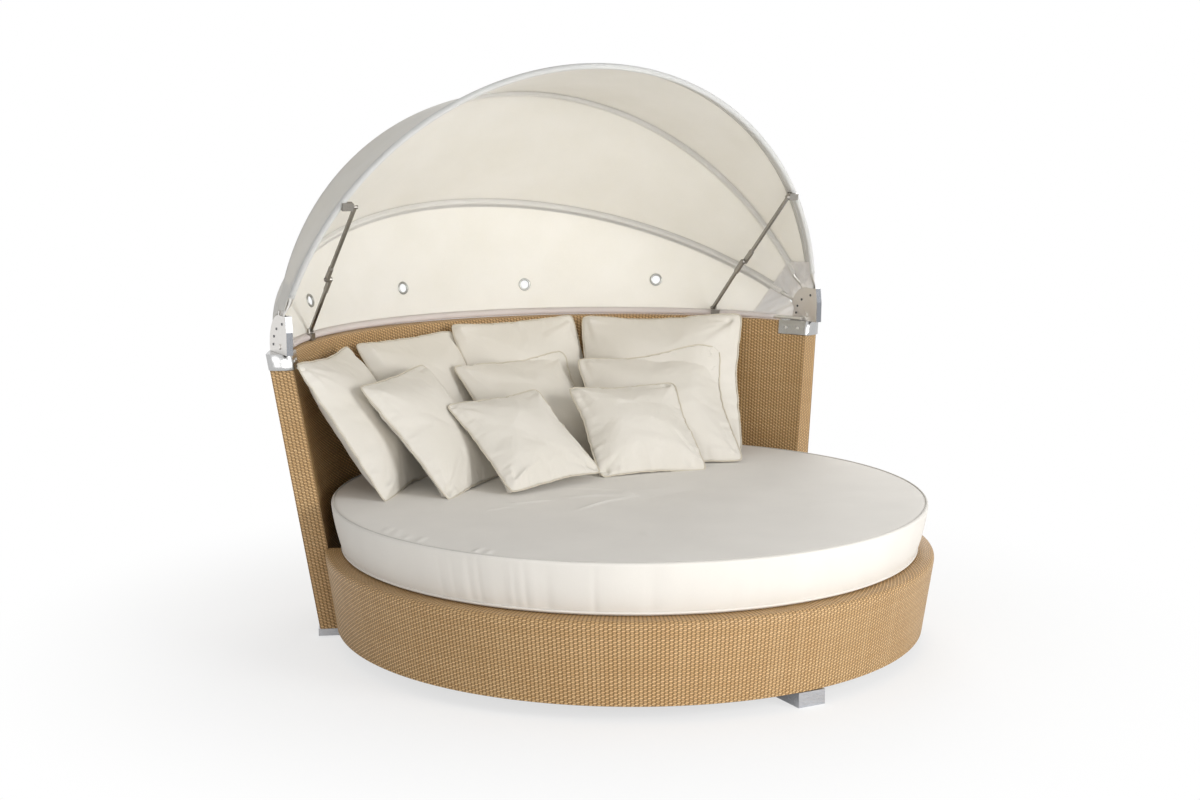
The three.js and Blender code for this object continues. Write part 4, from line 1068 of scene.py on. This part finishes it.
def patch(panel, side, reach=0.195, rows=30, columns=26, crumpled=0.011):
    """Second layer of cloth sewn inside the canopy at the hinge, a fan with a straight edge."""
    random = np.random.default_rng(40 + 2 * len(panel) + side)
    waves = [(random.uniform(20, 90), random.uniform(-90, 90), random.uniform(0, 6.3)) for _ in range(5)]
    points, weights = [], []
    for layer, i in itertools.product((0.0, 0.0008), range(columns + 1)):
        clears = [lerp(foot, reach, i / columns) for foot in patch_foot[panel]]
        (a, b), (near_a, near_b) = [
            [line.at(side * line.start(clear + more)) for line, clear in zip(lines_of(panel), clears)]
            for more in (0.0, 0.01)]
        for j in range(rows + 1):
            rise = lerp(0.02, 0.98, j / rows)
            spot = a.lerp(b, rise)
            out = away_from_hub((near_a.lerp(near_b, rise) - spot).cross(b - a).normalized(), spot)
            # the cloth is crumpled where it is gathered at the hinge
            crumple = sum(1 - abs(sin(p * spot.y + q * spot.z + turn)) for p, q, turn in waves)
            held = sin(pi * j / rows) ** 0.5 * (1 - 0.5 * (i / columns) ** 4)
            spot = spot + out * (cloth_off - patch_in - layer - crumpled * crumple / len(waves) * held)
            if panel == "rear":
                # drawn in past the hinge plates
                gap = hypot(spot.y - pin_back, spot.z - pin_height)
                spot.x = side * min(abs(spot.x), lerp(0.9362 - layer, 1.2, smooth((gap - 0.100) / 0.080)))
            points.append(spot)
            weights.append(weight_of(panel, rise))
    name = "left" if side < 0 else "right"
    # the patch cloth's whiter tone is partly painted light against the shade at the hinge
    piece = make(f"patch_{panel}_{name}", points, two_layers(columns, rows)[0], patch_cloth_painted_light,
                 angle=60)
    fan(piece)


for panel in panel_between:
    for side in (-1, 1):
        patch(panel, side)


# Hinge clamps

def clamp(name, side):
    """Bent strip round the wall's end with a rounded nose, and its flat cover on the wall's top."""
    play, thick = 0.0003, 0.0015
    half = wall_side + play + thick
    low, high = wall_high - 0.046, wall_high + 0.0028
    leg, nose = 0.110, 0.014
    bend = [pi * k / 24 for k in range(25)]
    path = [(lerp(-leg, 0, k / 10), -half) for k in range(10)]
    path += [(play + nose * sin(turn), -half * cos(turn)) for turn in bend]
    path += [(lerp(0, -leg, k / 10), half) for k in range(1, 11)]

    def at(along, across, z):
        p = wall_point(wall_end(z) + along / wall_radius(z), across, z)
        return Vector((side * p.x, p.y, p.z))

    rows = [low, low + 0.0012, low + 0.012, lerp(low, high, 0.5), high - 0.0012, high]
    insets = [0.0008, 0.0, 0.0, 0.0, 0.0, 0.0008]
    shape = []
    count = len(path)
    for k, (along, across) in enumerate(path):
        before, after = path[max(0, k - 1)], path[min(count - 1, k + 1)]
        da, dc = after[0] - before[0], after[1] - before[1]
        length = hypot(da, dc)
        na, nc = dc / length, -da / length
        shape += [at(along + na * (thick - i), across + nc * (thick - i), z) for z, i in zip(rows, insets)]
        shape += [at(along - na * thick, across - nc * thick, z) for z in reversed(rows)]
    size = len(rows) * 2
    faces = grid_faces(count, size, round_columns=True) + end_faces(count, size)
    start = len(shape)
    for z in (high - 0.0002, wall_high + 0.0004):
        shape += [at(along, across, z) for along, across in path]
    # the cover is a strip between the two legs
    for k in range(count // 2):
        a, b, c, d = k, k + 1, count - 2 - k, count - 1 - k
        faces.append((start + a, start + b, start + c, start + d))
        faces.append((start + count + d, start + count + c, start + count + b, start + count + a))
    make(f"hinge_clamp_{name}_bent", shape, faces, clamp_metal, "bed", f"hinge_clamp_{name}")


clamp("left", -1)
clamp("right", 1)


# CAD parts that stay, with their finishes, found by how their names start

kept = {
    "base_frame": frame_metal, "wall_frame": frame_metal, "deck_panel": deck_board,
    "front_foot": foot_metal, "rear_foot": foot_metal, "wall_foot_": foot_metal, "glide_": glide_plastic,
    "hinge_plate_": plate_metal, "hinge_pin_": plate_metal, "clamp_screw_": plate_metal, "stay_": stay_metal,
}
for name, part in nodes.items():
    for start, material in kept.items():
        if name.startswith(start):
            part.data.materials.clear()
            part.data.materials.append(material)
            part.data.polygons.foreach_set("material_index", [0] * len(part.data.polygons))

# the rivet heads stand proud of the hinge plates' faces, coloured as painted shade, and the front edges
# are polished, coloured as a painted reflection
for side, which in itertools.product(("left", "right"), ("inner", "outer")):
    part = nodes[f"hinge_plate_{which}_{side}"]
    part.data.materials.append(rivet_metal_painted_shade)
    part.data.materials.append(edge_metal_painted_reflection)
    for polygon in part.data.polygons:
        past = abs((part.matrix_world @ polygon.center).x) - hinge_across
        head = (-past if which == "inner" else past) > plate_out + 0.0003
        front = (part.matrix_world.to_3x3() @ polygon.normal).y < -0.7
        polygon.material_index = 1 if head else 2 if front else 0


# Floor, light and camera

def ray_share(tree, *kinds):
    """One for rays of the given kinds, and nought for all others."""
    path = add(tree, "LightPath")
    share = path.outputs[kinds[0]]
    for kind in kinds[1:]:
        share = add(tree, "Math", {0: share, 1: path.outputs[kind]}, operation="MAXIMUM")
    return share


def empty_tree(data):
    data.use_nodes = True
    data.node_tree.nodes.clear()
    return data.node_tree


def floor():
    """Pale studio floor that turns into the white background further out."""
    material = bpy.data.materials.new("studio_floor")
    tree = empty_tree(material)
    place = add(tree, "TexCoord").outputs["Object"]
    away = add(tree, "VectorMath", {0: place}, operation="LENGTH").outputs["Value"]
    shares = []
    # mirrored in metal, the floor close to the object keeps more of its shadow
    for kinds, near, far, low in ((["Is Camera Ray"], 0.9, 2.0, 0.68),
                                  (["Is Glossy Ray", "Is Transmission Ray"], 0.8, 1.6, 0.1)):
        share = add(tree, "MapRange", {0: away, 1: near, 2: far, 3: low, 4: 1.0},
                    interpolation_type="SMOOTHSTEP")
        shares.append(add(tree, "Math", {0: share, 1: ray_share(tree, *kinds)}, operation="MULTIPLY"))
    share = add(tree, "Math", {0: shares[0], 1: shares[1]}, operation="MAXIMUM")
    lit = add(tree, "BsdfDiffuse", {"Color": srgb("FAFAF9")})
    white = add(tree, "Emission", {"Color": (1, 1, 1, 1), "Strength": 1.0})
    both = add(tree, "MixShader", {0: share, 1: lit, 2: white})
    add(tree, "OutputMaterial", {0: both})
    ground = make("studio_ground", [(-9, -9, 0), (9, -9, 0), (9, 9, 0), (-9, 9, 0)], [(0, 1, 2, 3)], material)
    ground.location.z = -0.0005


def world():
    """White to the camera and in mirrors, and a weaker light on the object."""
    sky = bpy.data.worlds.new("studio_white")
    tree = empty_tree(sky)
    seen = ray_share(tree, "Is Camera Ray", "Is Glossy Ray", "Is Transmission Ray")
    strength = add(tree, "Mix", {0: seen, 2: 0.44, 3: 1.0}, data_type="FLOAT")
    back = add(tree, "Background", {"Color": (1, 1, 1, 1), "Strength": strength})
    add(tree, "OutputWorld", {0: back})
    bpy.context.scene.world = sky


def lamp(name, place, aim, size, power):
    data = bpy.data.lights.new(name, "AREA")
    data.shape, data.size, data.energy = "DISK", size, power
    light = new_object(name, data)
    light.location = place
    light.rotation_euler = (Vector(aim) - Vector(place)).to_track_quat("-Z", "Y").to_euler()


floor()
world()
lamp("key_right", (2.4, -5.6, 2.3), (0.0, -0.2, 0.7), 2.6, 192)
lamp("fill_left", (-4.6, -4.2, 1.6), (0, 0, 1.1), 3.4, 50)
lamp("back_right", (2.6, 3.0, 2.9), (0.2, 0.0, 1.3), 2.4, 80)
lamp("low_front", (-1.2, -5.6, 0.7), (0, 0.2, 1.2), 3.4, 76)

# the camera fitted to the photograph
heading, down = 0.4958, radians(8.82)
ahead = Vector((sin(heading) * cos(down), cos(heading) * cos(down), -sin(down)))
camera = new_object("camera", bpy.data.cameras.new("camera"))
camera.data.lens, camera.data.sensor_width = 53.386, 36.0
camera.location = (-2.6309, -4.6768 + shift_back, 1.5480)
camera.rotation_euler = ahead.to_track_quat("-Z", "Y").to_euler()
bpy.context.scene.camera = camera
bpy.context.scene.view_settings.view_transform = "Standard"
